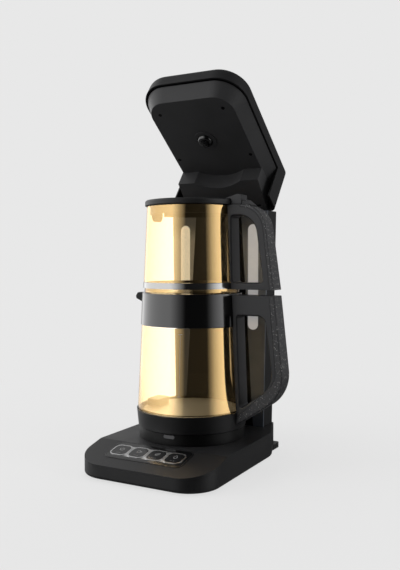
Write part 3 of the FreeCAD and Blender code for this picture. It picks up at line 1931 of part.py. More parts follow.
kettle_handle_frame = new_body("kettle_handle_frame")
frame_outline = outline(
    kettle_handle_frame,
    "XZ",
    kettle_seam(0) + [(S.collar_bore, S.kettle_seam_foot), (S.collar_bore, S.kettle_handle_top)],
)
pad(kettle_handle_frame, frame_outline, S.handle_half * 2, middle=True)
grip = outline(
    kettle_handle_frame,
    "XZ",
    [
        (S.kettle_grip_root, S.kettle_grip_top, S.grip_round),
        (S.kettle_grip_reach, S.kettle_grip_top, S.kettle_grip_corner),
        (S.kettle_grip_bulge, S.kettle_grip_bulge_height, S.kettle_grip_radius),
        (S.kettle_grip_foot_reach, S.kettle_grip_foot, S.grip_round - 1),
    ],
)
pocket(kettle_handle_frame, grip, S.handle_half * 2 + 2, middle=True)
blend(kettle_handle_frame, S.handle_edge, trace(grip, S.handle_half))
turn(kettle_handle_frame, outline(kettle_handle_frame, "XZ", kettle_pot), "Groove")
pocket(
    kettle_handle_frame,
    circles(
        kettle_handle_frame,
        "YZ",
        [(0, z, S.cover_screw_radius + S.seat_gap) for z in kettle_screw_heights],
        S.collar_bore,
    ),
    S.handle_screw_length + FAR,
    back=True,
)

kettle_handle_cover = new_body("kettle_handle_cover")
cover_back = [
    (S.collar_bore, S.kettle_handle_foot - S.kettle_foot_drop),
    (S.kettle_handle_bulge, S.kettle_handle_bulge_height, S.kettle_handle_bulge_radius),
    (S.kettle_handle_reach, S.kettle_handle_top),
]
cover_outline = outline(kettle_handle_cover, "XZ", kettle_seam(seam_gap) + cover_back)
pad(kettle_handle_cover, cover_outline, S.handle_half * 2, middle=True)
outer_line = draw(new_sketch(kettle_handle_cover, "XZ"), cover_back, closed=False)
blend(kettle_handle_cover, S.handle_edge, trace(outer_line, S.handle_half))
turn(kettle_handle_cover, outline(kettle_handle_cover, "XZ", kettle_pot), "Groove")

screw_start = S.collar_bore + 3
group(
    "kettle_handle_screws",
    [
        cylinder(
            f"kettle_handle_screw_{i}",
            S.cover_screw_radius,
            S.handle_screw_length,
            screw_start,
            0,
            z,
            "X",
        )
        for i, z in enumerate(kettle_screw_heights)
    ],
)

# ---------------------------------------------------------------- teapot

plug_low = S.teapot_bottom - S.teapot_plug_depth
teapot_inner_low = S.teapot_low_radius - S.glass_thickness
teapot_inner_top = S.teapot_top_radius - S.glass_thickness
plug_inner = S.teapot_plug_radius - S.glass_thickness
teapot_glass = new_body("teapot_glass")
turn(
    teapot_glass,
    outline(
        teapot_glass,
        "XZ",
        [
            (0, plug_low),
            (S.teapot_plug_radius, plug_low, 2),
            (S.teapot_plug_radius, S.teapot_bottom),
            (S.teapot_foot_radius, S.teapot_bottom, 1.5),
            (S.teapot_foot_radius, S.band_high + S.seat_gap),
            (S.teapot_low_radius, S.band_high + S.seat_gap),
            (S.teapot_top_radius, S.teapot_glass_top),
            (teapot_inner_top, S.teapot_glass_top),
            (teapot_inner_low, S.band_high),
            (teapot_inner_low - 1, S.band_low, 4),
            (plug_inner, S.teapot_bottom + S.glass_thickness, 4),
            (plug_inner, plug_low + S.glass_thickness, 3),
            (0, plug_low + S.glass_thickness),
        ],
    ),
)

teapot_band = new_body("teapot_band")
turn(
    teapot_band,
    outline(
        teapot_band,
        "XZ",
        [
            (S.teapot_foot_radius + S.seat_gap, S.band_low),
            (S.band_radius, S.band_low),
            (S.band_radius, S.band_high),
            (S.teapot_foot_radius + S.seat_gap, S.band_high),
        ],
    ),
)

flap_top = S.teapot_glass_top - 1.4
spout_strainer = new_body("spout_strainer")
pad(
    spout_strainer,
    outline(
        spout_strainer,
        "YZ",
        [
            (-S.strainer_half, flap_top),
            (-S.strainer_half, flap_top - S.strainer_drop, S.strainer_round),
            (S.strainer_half, flap_top - S.strainer_drop, S.strainer_round),
            (S.strainer_half, flap_top),
        ],
        -S.strainer_offset,
    ),
    S.strainer_wall,
)
pocket(
    spout_strainer,
    circles(
        spout_strainer,
        "YZ",
        [
            (y * S.strainer_pitch, flap_top - (row + 1) * S.strainer_pitch, S.strainer_hole)
            for y in range(-3, 4)
            for row in range(4)
        ],
        -S.strainer_offset + S.strainer_wall + 1,
    ),
    S.strainer_wall + 2,
)

teapot_pot = [
    (0, S.collar_top),
    (S.band_radius + S.seat_gap, S.collar_top),
    (S.band_radius + S.seat_gap, S.band_high + 1),
    (S.teapot_low_radius + S.seat_gap, S.band_high + 1),
    (S.teapot_top_radius + S.seat_gap, S.teapot_glass_top),
    (S.teapot_top_radius + S.seat_gap, S.teapot_glass_top + FAR),
    (0, S.teapot_glass_top + FAR),
]


def teapot_seam(shift):
    return [
        (S.teapot_seam_foot + shift, S.teapot_handle_low),
        (S.teapot_seam_reach + shift, S.teapot_seam_top + shift, S.teapot_seam_radius),
        (S.teapot_seam_start, S.teapot_seam_top + shift),
    ]


teapot_root = S.teapot_top_radius - FAR / 2
teapot_handle_frame = new_body("teapot_handle_frame")
pad(
    teapot_handle_frame,
    outline(
        teapot_handle_frame,
        "XZ",
        teapot_seam(0)
        + [
            (S.teapot_seam_start, S.teapot_handle_top),
            (teapot_root, S.teapot_handle_top),
            (teapot_root, S.teapot_handle_low),
        ],
    ),
    S.handle_half * 2,
    middle=True,
)
teapot_grip = outline(
    teapot_handle_frame,
    "XZ",
    [
        (S.teapot_grip_top_root, S.teapot_grip_top, S.grip_round),
        (S.teapot_grip_reach, S.teapot_grip_top, S.teapot_grip_radius),
        (S.teapot_grip_foot, S.teapot_grip_low, S.teapot_grip_corner),
        (S.teapot_grip_root, S.teapot_grip_low, S.grip_round),
    ],
)
pocket(teapot_handle_frame, teapot_grip, S.handle_half * 2 + 2, middle=True)
blend(teapot_handle_frame, S.handle_edge, trace(teapot_grip, S.handle_half))
turn(teapot_handle_frame, outline(teapot_handle_frame, "XZ", teapot_pot), "Groove")

teapot_handle_cover = new_body("teapot_handle_cover")
teapot_back = [
    (S.teapot_seam_start + seam_gap, S.teapot_handle_top),
    (S.teapot_handle_reach, S.teapot_handle_top, S.teapot_handle_radius),
    (S.teapot_handle_foot, S.teapot_handle_low),
]
teapot_inside = teapot_seam(seam_gap)
teapot_inside[-1] = (S.teapot_seam_start + seam_gap, S.teapot_seam_top + seam_gap)
pad(
    teapot_handle_cover,
    outline(teapot_handle_cover, "XZ", teapot_inside + teapot_back),
    S.handle_half * 2,
    middle=True,
)
back_line = draw(new_sketch(teapot_handle_cover, "XZ"), teapot_back, closed=False)
blend(teapot_handle_cover, S.teapot_edge, trace(back_line, S.handle_half))

# ---------------------------------------------------------------- teapot lid and its hinge

block_low = S.teapot_handle_top + S.seat_gap
hinge_x = S.teapot_hinge_x
hinge_z = S.teapot_hinge_height
tongue_half = S.lever_half / 2 - S.run_gap
lid_hinge_block = new_body("lid_hinge_block")
pad(
    lid_hinge_block,
    outline(
        lid_hinge_block,
        "XZ",
        [
            (hinge_x - S.teapot_hinge_radius, block_low),
            (hinge_x + 1, block_low),
            (S.block_tail, S.block_tail_height),
            (S.block_tail + 0.4, S.block_tail_height + 0.8),
            (hinge_x + 1, hinge_z + S.teapot_hinge_radius, 1),
            (hinge_x - S.teapot_hinge_radius, hinge_z + 1),
        ],
    ),
    S.lever_half * 2,
    middle=True,
)
tongue_room = hinge_x + S.teapot_hinge_radius + S.run_gap
pocket(
    lid_hinge_block,
    outline(
        lid_hinge_block,
        "XZ",
        [
            (hinge_x - FAR, block_low - 1),
            (tongue_room, block_low - 1),
            (tongue_room, hinge_z + FAR),
            (hinge_x - FAR, hinge_z + FAR),
        ],
    ),
    S.lever_half,
    middle=True,
)
pocket(
    lid_hinge_block,
    circles(lid_hinge_block, "XZ", [(hinge_x, hinge_z, S.teapot_pin_radius + S.seat_gap)]),
    S.lever_half * 2 + 2,
    middle=True,
)

lid_hinge_pin = new_body("lid_hinge_pin")
pad(
    lid_hinge_pin,
    circles(lid_hinge_pin, "XZ", [(hinge_x, hinge_z, S.teapot_pin_radius)]),
    S.lever_half * 2,
    middle=True,
)

rim_low = S.teapot_glass_top + S.run_gap
rim_top = rim_low + S.rim_height
teapot_lid = new_body("teapot_lid")
turn(
    teapot_lid,
    outline(
        teapot_lid,
        "XZ",
        [
            (S.skirt_radius - S.skirt_wall, S.skirt_low),
            (S.skirt_radius, S.skirt_low),
            (S.skirt_radius, rim_low),
            (S.rim_radius, rim_low, 1),
            (S.rim_radius, rim_top, 3),
            (S.inlet_radius + FAR, rim_top - 1),
            (S.inlet_radius, rim_top - S.inlet_drop),
            (S.inlet_radius, rim_top - S.inlet_drop - S.wall),
            (S.skirt_radius - S.skirt_wall, rim_low + 1),
        ],
    ),
)
pocket(
    teapot_lid,
    outline(
        teapot_lid,
        "XY",
        [
            (-S.rim_radius, -S.strainer_half - 2),
            (-S.rim_radius, S.strainer_half + 2),
            (-S.skirt_radius + FAR, S.strainer_half + 2),
            (-S.skirt_radius + FAR, -S.strainer_half - 2),
        ],
        rim_low,
    ),
    S.rim_height * 2,
)

thumb_lever = new_body("thumb_lever")
lever_face = hinge_x - S.teapot_hinge_radius - 1
lever_low = rim_low + S.run_gap * 2
pad(
    thumb_lever,
    outline(
        thumb_lever,
        "XZ",
        [
            (S.rim_radius - 8, rim_top + S.seat_gap),
            (S.rim_radius + S.seat_gap, rim_top + S.seat_gap),
            (S.rim_radius + S.seat_gap, lever_low),
            (lever_face, lever_low),
            (lever_face, S.lever_peak_height - 1.4, 1),
            (lever_face - 5, S.lever_peak_height, 1.5),
            (S.rim_radius - 8, rim_top + 1.2),
        ],
    ),
    S.lever_half * 2,
    middle=True,
)
pad(
    thumb_lever,
    outline(
        thumb_lever,
        "XZ",
        [
            (lever_face - 1, lever_low),
            (hinge_x, lever_low),
            (hinge_x, hinge_z + S.teapot_hinge_radius),
            (lever_face - 1, hinge_z + S.teapot_hinge_radius),
        ],
    ),
    tongue_half * 2,
    middle=True,
)
pad(
    thumb_lever,
    circles(thumb_lever, "XZ", [(hinge_x, hinge_z, S.teapot_hinge_radius)]),
    tongue_half * 2,
    middle=True,
)
pocket(
    thumb_lever,
    circles(thumb_lever, "XZ", [(hinge_x, hinge_z, S.teapot_pin_radius + S.pin_fit)]),
    S.lever_half * 2,
    middle=True,
)

# ---------------------------------------------------------------- check and export

doc.recompute()
for item in doc.Objects:
    if "Invalid" in item.State or "Error" in item.State:
        raise RuntimeError(f"{item.Name}: {item.State}")
os.makedirs("parts", exist_ok=True)
for piece in pieces:
    if piece.Shape.isNull() or not piece.Shape.isValid():
        raise RuntimeError(f"{piece.Label}: its shape is not sound")
    piece.Shape.exportStep(f"parts/{piece.Label}.step")
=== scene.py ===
import bmesh
import bpy
import math
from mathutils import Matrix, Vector


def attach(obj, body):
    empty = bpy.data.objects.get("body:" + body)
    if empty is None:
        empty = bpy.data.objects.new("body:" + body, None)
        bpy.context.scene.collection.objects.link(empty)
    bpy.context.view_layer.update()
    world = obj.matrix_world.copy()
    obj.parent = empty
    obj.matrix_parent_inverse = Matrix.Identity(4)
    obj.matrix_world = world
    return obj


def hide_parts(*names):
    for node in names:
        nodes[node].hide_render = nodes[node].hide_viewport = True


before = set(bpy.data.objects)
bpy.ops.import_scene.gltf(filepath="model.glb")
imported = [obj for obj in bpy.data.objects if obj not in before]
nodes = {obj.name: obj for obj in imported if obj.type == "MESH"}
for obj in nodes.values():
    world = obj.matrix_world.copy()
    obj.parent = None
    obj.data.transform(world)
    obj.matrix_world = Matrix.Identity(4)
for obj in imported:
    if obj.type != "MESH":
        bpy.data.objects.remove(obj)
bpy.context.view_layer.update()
mm = 0.001
weld = 0.001  # millimetres; points nearer than this become one
print("frame loaded:", len(nodes), "nodes")


# small helpers

def hexColour(code):
    # sRGB hex to the linear colour that a shader takes
    channels = [int(code[i:i + 2], 16) / 255 for i in (0, 2, 4)]
    return [c / 12.92 if c <= 0.04045 else ((c + 0.055) / 1.055) ** 2.4 for c in channels] + [1]


def addNode(tree, kind, links=None, **settings):
    node = tree.nodes.new(kind)
    for name, value in settings.items():
        setattr(node, name, value)
    for name, value in (links or {}).items():
        if isinstance(value, bpy.types.NodeSocket):
            tree.links.new(value, node.inputs[name])
        else:
            node.inputs[name].default_value = value
    return node


def meshPiece(name, build, material):
    # build fills a bmesh in millimetres
    bm = bmesh.new()
    build(bm)
    bmesh.ops.remove_doubles(bm, verts=bm.verts, dist=weld)
    bmesh.ops.recalc_face_normals(bm, faces=bm.faces)
    bmesh.ops.scale(bm, vec=(mm, mm, mm), verts=bm.verts)
    mesh = bpy.data.meshes.new(name)
    bm.to_mesh(mesh)
    bm.free()
    mesh.materials.append(material)
    piece = bpy.data.objects.new(name, mesh)
    bpy.context.scene.collection.objects.link(piece)
    return piece


def grownPiece(name, tree, values, seedMesh=None):
    # runs a geometry tree once and keeps its result as a plain mesh
    carrier = bpy.data.objects.new(name, seedMesh or bpy.data.meshes.new(name + "Seed"))
    bpy.context.scene.collection.objects.link(carrier)
    modifier = carrier.modifiers.new("grow", "NODES")
    modifier.node_group = tree
    for item in tree.interface.items_tree:
        if item.in_out == "INPUT" and item.name in values:
            modifier[item.identifier] = values[item.name]
    bpy.context.view_layer.update()
    evaluated = carrier.evaluated_get(bpy.context.evaluated_depsgraph_get())
    mesh = bpy.data.meshes.new_from_object(evaluated)
    carrier.modifiers.clear()
    carrier.data = mesh
    mesh.name = name
    return carrier


def geometryTree(name, sockets):
    # sockets: (name, socket type, value)
    tree = bpy.data.node_groups.new(name, "GeometryNodeTree")
    tree.interface.new_socket("Geometry", in_out="INPUT", socket_type="NodeSocketGeometry")
    tree.interface.new_socket("Geometry", in_out="OUTPUT", socket_type="NodeSocketGeometry")
    for label, kind, value in sockets:
        socket = tree.interface.new_socket(label, in_out="INPUT", socket_type=kind)
        if value is not None:
            socket.default_value = value
    return tree, tree.nodes.new("NodeGroupInput"), tree.nodes.new("NodeGroupOutput")


# finishes; sizes, depths and edges in them are millimetres

edgeSamples = 4  # rays that round an edge off; more is smoother and slower
# a Mix node's two colours and its result are reached by place, because its sockets share their names
toneA, toneB, toneOut = 6, 7, 2


def newFinish(name, **values):
    # values are the shader's own sockets, with _ for each space in a name
    material = bpy.data.materials.new(name)
    material.use_nodes = True
    tree = material.node_tree
    shader = tree.nodes["Principled BSDF"]
    for label, value in values.items():
        shader.inputs[label.replace("_", " ")].default_value = value
    return material, tree, shader


mouldSkin = {
    "ior": 1.5, "patch": 35.71, "patchDetail": 3, "patchLow": 0.3, "patchHigh": 0.7, "unevenness": 0.04,
    "grainDetail": 2, "grainDepth": 0.1,
}


def mouldedPlastic(name, plastic):
    # injection-moulded ABS: spark-eroded grain scatters the gloss, and edges are softened by the mould
    material, tree, shader = newFinish(name, IOR=mouldSkin["ior"], Specular_IOR_Level=plastic["gloss"])
    place = addNode(tree, "ShaderNodeTexCoord").outputs["Object"]
    grain = addNode(tree, "ShaderNodeTexNoise", {
        "Vector": place, "Scale": 1 / (plastic["grain"] * mm), "Detail": mouldSkin["grainDetail"]})
    cloud = addNode(tree, "ShaderNodeTexNoise", {
        "Vector": place, "Scale": 1 / (mouldSkin["patch"] * mm), "Detail": mouldSkin["patchDetail"]})
    tone = addNode(tree, "ShaderNodeMix", {
        "Factor": cloud.outputs["Fac"], toneA: hexColour(plastic["dark"]), toneB: hexColour(plastic["light"])},
        data_type="RGBA")
    tree.links.new(tone.outputs[toneOut], shader.inputs["Base Color"])
    rough = addNode(tree, "ShaderNodeMapRange", {
        "Value": cloud.outputs["Fac"], "From Min": mouldSkin["patchLow"], "From Max": mouldSkin["patchHigh"],
        "To Min": plastic["roughness"] - mouldSkin["unevenness"],
        "To Max": plastic["roughness"] + mouldSkin["unevenness"]})
    tree.links.new(rough.outputs["Result"], shader.inputs["Roughness"])
    edge = addNode(tree, "ShaderNodeBevel", {"Radius": plastic["edge"] * mm}, samples=edgeSamples)
    bump = addNode(tree, "ShaderNodeBump", {
        "Height": grain.outputs["Fac"], "Strength": plastic["grainStrength"],
        "Distance": mouldSkin["grainDepth"] * mm, "Normal": edge.outputs["Normal"]})
    tree.links.new(bump.outputs["Normal"], shader.inputs["Normal"])
    return material


satinAbs = mouldedPlastic("satinMouldedAbs", {
    "dark": "1E1E1F", "light": "252526", "gloss": 0.3, "roughness": 0.38,
    "grain": 0.9, "grainStrength": 0.10, "edge": 0.5})
lidCoverAbs = mouldedPlastic("lidCoverMouldedAbs", {
    "dark": "1A1A1B", "light": "202021", "gloss": 0.12, "roughness": 0.5,
    "grain": 0.9, "grainStrength": 0.10, "edge": 0.8})
lidAbs = mouldedPlastic("lidMouldedAbs", {
    "dark": "3A3A3B", "light": "444445", "gloss": 0.2, "roughness": 0.42,
    "grain": 0.9, "grainStrength": 0.10, "edge": 0.8})
shellAbs = mouldedPlastic("shellMouldedAbs", {
    "dark": "121213", "light": "171718", "gloss": 0.18, "roughness": 0.45,
    "grain": 0.9, "grainStrength": 0.10, "edge": 0.8})
handleNylon = mouldedPlastic("handleMouldedNylon", {
    "dark": "242426", "light": "2B2B2D", "gloss": 0.35, "roughness": 0.42,
    "grain": 0.8, "grainStrength": 0.14, "edge": 0.8})
# near-black inner plastic; on the column's middle it serves as painted shade
innerAbsAndPaintedShade = mouldedPlastic("innerMouldedAbsAndPaintedShade", {
    "dark": "09090A", "light": "0E0E0F", "gloss": 0.15, "roughness": 0.6,
    "grain": 1.2, "grainStrength": 0.2, "edge": 0.3})
pumpPlastic = mouldedPlastic("pumpMouldedPps", {
    "dark": "3A3A3C", "light": "454547", "gloss": 0.5, "roughness": 0.55,
    "grain": 1.0, "grainStrength": 0.2, "edge": 0.3})


def smokedPanelPlastic(smoked):
    # smoked acrylic over the column's lamps: its upper part is painted paler, a painted pool of their light,
    # and glows there with painted light, most on the left
    material, tree, shader = newFinish(
        "smokedColumnAcrylic", IOR=smoked["ior"], Roughness=smoked["roughness"],
        Specular_IOR_Level=smoked["gloss"], Emission_Strength=smoked["glow"])
    place = addNode(tree, "ShaderNodeTexCoord").outputs["Object"]
    where = addNode(tree, "ShaderNodeSeparateXYZ", {"Vector": place})
    height = where.outputs["Z"]
    # painted light: the band between these heights is painted paler
    lit = addNode(tree, "ShaderNodeMapRange", {
        "Value": height, "From Min": smoked["litFrom"] * mm, "From Max": smoked["litTo"] * mm},
        interpolation_type="SMOOTHSTEP")
    dim = addNode(tree, "ShaderNodeMapRange", {
        "Value": height, "From Min": smoked["dimFrom"] * mm, "From Max": smoked["dimTo"] * mm,
        "To Min": 1.0, "To Max": 0.0}, interpolation_type="SMOOTHSTEP")
    both = addNode(tree, "ShaderNodeMath", {
        0: lit.outputs["Result"], 1: dim.outputs["Result"]}, operation="MULTIPLY")
    haze = addNode(tree, "ShaderNodeTexNoise", {
        "Vector": place, "Scale": 1 / (smoked["haze"] * mm), "Detail": smoked["hazeDetail"]})
    level = addNode(tree, "ShaderNodeMath", {
        0: haze.outputs["Fac"], 1: smoked["hazeShare"], 2: both.outputs[0]}, operation="MULTIPLY_ADD")
    tone = addNode(tree, "ShaderNodeMix", {
        "Factor": level.outputs[0], toneA: hexColour(smoked["dark"]), toneB: hexColour(smoked["light"])},
        data_type="RGBA")
    tree.links.new(tone.outputs[toneOut], shader.inputs["Base Color"])
    # painted glow: only in the paler band, and only on the left
    left = addNode(tree, "ShaderNodeMapRange", {
        "Value": where.outputs["X"], "From Min": smoked["paintedGlowEdge"] * mm, "From Max": smoked["paintedGlowFull"] * mm})
    lamps = addNode(tree, "ShaderNodeMath", {
        0: both.outputs[0], 1: left.outputs["Result"]}, operation="MULTIPLY")
    glow = addNode(tree, "ShaderNodeMix", {
        "Factor": lamps.outputs[0], toneA: hexColour("000000"), toneB: hexColour(smoked["lamp"])},
        data_type="RGBA")
    tree.links.new(glow.outputs[toneOut], shader.inputs["Emission Color"])
    return material


columnAcrylic = smokedPanelPlastic({
    "dark": "424750", "light": "81868E", "ior": 1.49, "roughness": 0.4, "gloss": 0.4,
    "haze": 25, "hazeDetail": 2, "hazeShare": 0.2,
    # lamp is the colour of the painted glow; glow is its strength
    "lamp": "C8C0B4", "glow": 0.22, "litFrom": 170, "litTo": 230, "dimFrom": 300, "dimTo": 335,
    "paintedGlowEdge": -10, "paintedGlowFull": -30})

polishedSkin = {
    "ior": 1.52, "coatRoughness": 0.03, "ripple": 28.57, "rippleDetail": 1, "rippleStrength": 0.05,
    "rippleDepth": 0.3, "dust": 1.111, "dustDetail": 2, "dustLow": 0.45, "dustHigh": 0.75,
    "dustDullness": 0.05, "edge": 0.4,
}


def glossPlastic(name, gloss):
    # piano-black ABS: polished mould, with a long faint ripple that bends reflections a little
    material, tree, shader = newFinish(
        name, IOR=polishedSkin["ior"], Specular_IOR_Level=gloss["gloss"],
        Coat_Weight=gloss["coat"], Coat_Roughness=polishedSkin["coatRoughness"])
    shader.inputs["Base Color"].default_value = hexColour(gloss["colour"])
    place = addNode(tree, "ShaderNodeTexCoord").outputs["Object"]
    ripple = addNode(tree, "ShaderNodeTexNoise", {
        "Vector": place, "Scale": 1 / (polishedSkin["ripple"] * mm), "Detail": polishedSkin["rippleDetail"]})
    dust = addNode(tree, "ShaderNodeTexNoise", {
        "Vector": place, "Scale": 1 / (polishedSkin["dust"] * mm), "Detail": polishedSkin["dustDetail"]})
    rough = addNode(tree, "ShaderNodeMapRange", {
        "Value": dust.outputs["Fac"], "From Min": polishedSkin["dustLow"], "From Max": polishedSkin["dustHigh"],
        "To Min": gloss["roughness"], "To Max": gloss["roughness"] + polishedSkin["dustDullness"]})
    tree.links.new(rough.outputs["Result"], shader.inputs["Roughness"])
    edge = addNode(tree, "ShaderNodeBevel", {"Radius": polishedSkin["edge"] * mm}, samples=edgeSamples)
    bump = addNode(tree, "ShaderNodeBump", {
        "Height": ripple.outputs["Fac"], "Strength": polishedSkin["rippleStrength"],
        "Distance": polishedSkin["rippleDepth"] * mm, "Normal": edge.outputs["Normal"]})
    tree.links.new(bump.outputs["Normal"], shader.inputs["Normal"])
    return material


pianoBlack = glossPlastic("pianoBlackAbs", {"colour": "0C0C0D", "gloss": 0.5, "roughness": 0.12, "coat": 0.3})
ringBlack = glossPlastic("kettleRingAbs", {"colour": "161617", "gloss": 0.4, "roughness": 0.3, "coat": 0.0})
discBlack = glossPlastic("discAbs", {"colour": "090909", "gloss": 0.15, "roughness": 0.35, "coat": 0.0})
rimBlack = glossPlastic("teapotLidAbs", {"colour": "111112", "gloss": 0.35, "roughness": 0.5, "coat": 0.0})

speckle = {
    "ground": "343436", "shade": "29292B", "cloud": 2.5, "cloudDetail": 4, "ior": 1.5,
    "grains": "D8D8D4", "grainSize": 1.1, "share": 0.13, "grainReach": 0.45,
    "smoothest": 0.42, "dullest": 0.62, "reliefStrength": 0.35, "reliefDepth": 0.15, "edge": 0.6,
}


def speckledPlastic():
    # mineral-filled handle plastic: dark grey with pale grains of stone in it, felt as a fine texture
    material, tree, shader = newFinish("stoneSpeckledPlastic", IOR=speckle["ior"])
    place = addNode(tree, "ShaderNodeTexCoord").outputs["Object"]
    cells = addNode(tree, "ShaderNodeTexVoronoi", {
        "Vector": place, "Scale": 1 / (speckle["grainSize"] * mm), "Randomness": 1.0})
    pick = addNode(tree, "ShaderNodeSeparateColor", {"Color": cells.outputs["Color"]})
    # a share of the cells holds a grain, no wider than grainReach of its cell, and each has its own brightness
    chosen = addNode(tree, "ShaderNodeMath", {
        0: pick.outputs[0], 1: 1 - speckle["share"]}, operation="GREATER_THAN")
    small = addNode(tree, "ShaderNodeMath", {
        0: cells.outputs["Distance"], 1: speckle["grainReach"]}, operation="LESS_THAN")
    shows = addNode(tree, "ShaderNodeMath", {0: chosen.outputs[0], 1: small.outputs[0]}, operation="MULTIPLY")
    bright = addNode(tree, "ShaderNodeMath", {0: shows.outputs[0], 1: pick.outputs[1]}, operation="MULTIPLY")
    cloud = addNode(tree, "ShaderNodeTexNoise", {
        "Vector": place, "Scale": 1 / (speckle["cloud"] * mm), "Detail": speckle["cloudDetail"]})
    ground = addNode(tree, "ShaderNodeMix", {
        "Factor": cloud.outputs["Fac"],
        toneA: hexColour(speckle["shade"]), toneB: hexColour(speckle["ground"])}, data_type="RGBA")
    full = addNode(tree, "ShaderNodeMix", {
        "Factor": bright.outputs[0], toneA: ground.outputs[toneOut], toneB: hexColour(speckle["grains"])},
        data_type="RGBA")
    tree.links.new(full.outputs[toneOut], shader.inputs["Base Color"])
    rough = addNode(tree, "ShaderNodeMapRange", {
        "Value": cloud.outputs["Fac"], "To Min": speckle["smoothest"], "To Max": speckle["dullest"]})
    tree.links.new(rough.outputs["Result"], shader.inputs["Roughness"])
    edge = addNode(tree, "ShaderNodeBevel", {"Radius": speckle["edge"] * mm}, samples=edgeSamples)
    bump = addNode(tree, "ShaderNodeBump", {
        "Height": cloud.outputs["Fac"], "Strength": speckle["reliefStrength"],
        "Distance": speckle["reliefDepth"] * mm, "Normal": edge.outputs["Normal"]})
    tree.links.new(bump.outputs["Normal"], shader.inputs["Normal"])
    return material


stonePlastic = speckledPlastic()
metalSkin = {"lineDetail": 3, "lineLow": 0.3, "lineHigh": 0.7, "unevenness": 0.08, "lineDepth": 0.02}


def drawnMetal(name, metal):
    # rolled or turned metal: fine lines along one way stretch the highlights across them
    material, tree, shader = newFinish(name, Metallic=metal["metallic"])
    place = addNode(tree, "ShaderNodeTexCoord").outputs["Object"]
    along = addNode(tree, "ShaderNodeMapping", {
        "Vector": place, "Scale": [1 / (size * mm) for size in metal["lines"]]})
    lines = addNode(tree, "ShaderNodeTexNoise", {
        "Vector": along.outputs["Vector"], "Scale": 1, "Detail": metalSkin["lineDetail"]})
    tone = addNode(tree, "ShaderNodeMix", {
        "Factor": lines.outputs["Fac"], toneA: hexColour(metal["dark"]), toneB: hexColour(metal["light"])},
        data_type="RGBA")
    tree.links.new(tone.outputs[toneOut], shader.inputs["Base Color"])
    rough = addNode(tree, "ShaderNodeMapRange", {
        "Value": lines.outputs["Fac"], "From Min": metalSkin["lineLow"], "From Max": metalSkin["lineHigh"],
        "To Min": metal["roughness"], "To Max": metal["roughness"] + metalSkin["unevenness"]})
    tree.links.new(rough.outputs["Result"], shader.inputs["Roughness"])
    bump = addNode(tree, "ShaderNodeBump", {
        "Height": lines.outputs["Fac"], "Strength": metal["bump"], "Distance": metalSkin["lineDepth"] * mm})
    tree.links.new(bump.outputs["Normal"], shader.inputs["Normal"])
    return material


# lines: how long and wide they are along X, Y and Z
bandSteel = drawnMetal("polishedStainlessBand", {
    "dark": "8E8E8D", "light": "9C9C9A", "metallic": 1.0,
    "roughness": 0.08, "bump": 0.1, "lines": (40, 40, 0.4)})
plateSteel = drawnMetal("brushedStainlessPlate", {
    "dark": "DAD6CE", "light": "F0ECE4", "metallic": 0.6,
    "roughness": 0.4, "bump": 0.3, "lines": (0.5556, 16.67, 16.67)})
satinChrome = drawnMetal("satinChromeKeyRing", {
    "dark": "C4C4C5", "light": "DADADA", "metallic": 1.0,
    "roughness": 0.3, "bump": 0.1, "lines": (3.333, 3.333, 3.333)})
screwSteel = drawnMetal("zincPlatedSteel", {
    "dark": "8F9092", "light": "B5B6B8", "metallic": 1.0,
    "roughness": 0.35, "bump": 0.2, "lines": (1.111, 1.111, 1.111)})
darkScrewSteel = drawnMetal("blackenedScrewSteel", {
    "dark": "141415", "light": "202021", "metallic": 1.0,
    "roughness": 0.4, "bump": 0.2, "lines": (1.111, 1.111, 1.111)})
elementMetal = drawnMetal("sheathedElement", {
    "dark": "5A554E", "light": "857E73", "metallic": 1.0,
    "roughness": 0.4, "bump": 0.3, "lines": (2, 2, 2)})
meshSteel = drawnMetal("piercedStainless", {
    "dark": "2A1E14", "light": "463622", "metallic": 1.0,
    "roughness": 0.22, "bump": 0.2, "lines": (1.429, 1.429, 1.429)})


def amberGlass(name, amber):
    # borosilicate with an evaporated gold-brown film outside: it mirrors gold, lets amber light through,
    # and deepens seen edge on
    material, tree, shader = newFinish(name, Roughness=0.0, IOR=amber["ior"], Transmission_Weight=1.0)
    facing = addNode(tree, "ShaderNodeLayerWeight", {"Blend": amber["blend"]})
    tone = addNode(tree, "ShaderNodeMix", {
        "Factor": facing.outputs["Facing"], toneA: hexColour(amber["face"]), toneB: hexColour(amber["edge"])},
        data_type="RGBA")
    # the film only mirrors and tints what comes from outside; light from within the wall hardly meets it
    side = addNode(tree, "ShaderNodeNewGeometry")
    body = addNode(tree, "ShaderNodeMix", {
        "Factor": side.outputs["Backfacing"], toneA: tone.outputs[toneOut], toneB: hexColour("FFFFFF")},
        data_type="RGBA")
    tree.links.new(body.outputs[toneOut], shader.inputs["Base Color"])
    film = addNode(tree, "ShaderNodeMath", {
        0: side.outputs["Backfacing"], 1: -amber["film"], 2: amber["film"]}, operation="MULTIPLY_ADD")
    tree.links.new(film.outputs[0], shader.inputs["Metallic"])
    return material


# the IOR is under borosilicate's 1.47: so thin a wall hardly bends the view, and the film gives the mirror
lustreGlass = amberGlass("amberLustreGlass", {
    "face": "FFD896", "edge": "9A6A26", "film": 0.44, "ior": 1.15, "blend": 0.35})
clearGlass = amberGlass("clearBorosilicateGlass", {
    "face": "FFFBF3", "edge": "F0DCB8", "film": 0.0, "ior": 1.15, "blend": 0.35})

lensSkin = {"ior": 1.49, "coat": 0.3, "coatRoughness": 0.05, "milk": 11.11, "milkDetail": 2, "paintedGlowSeam": 10}


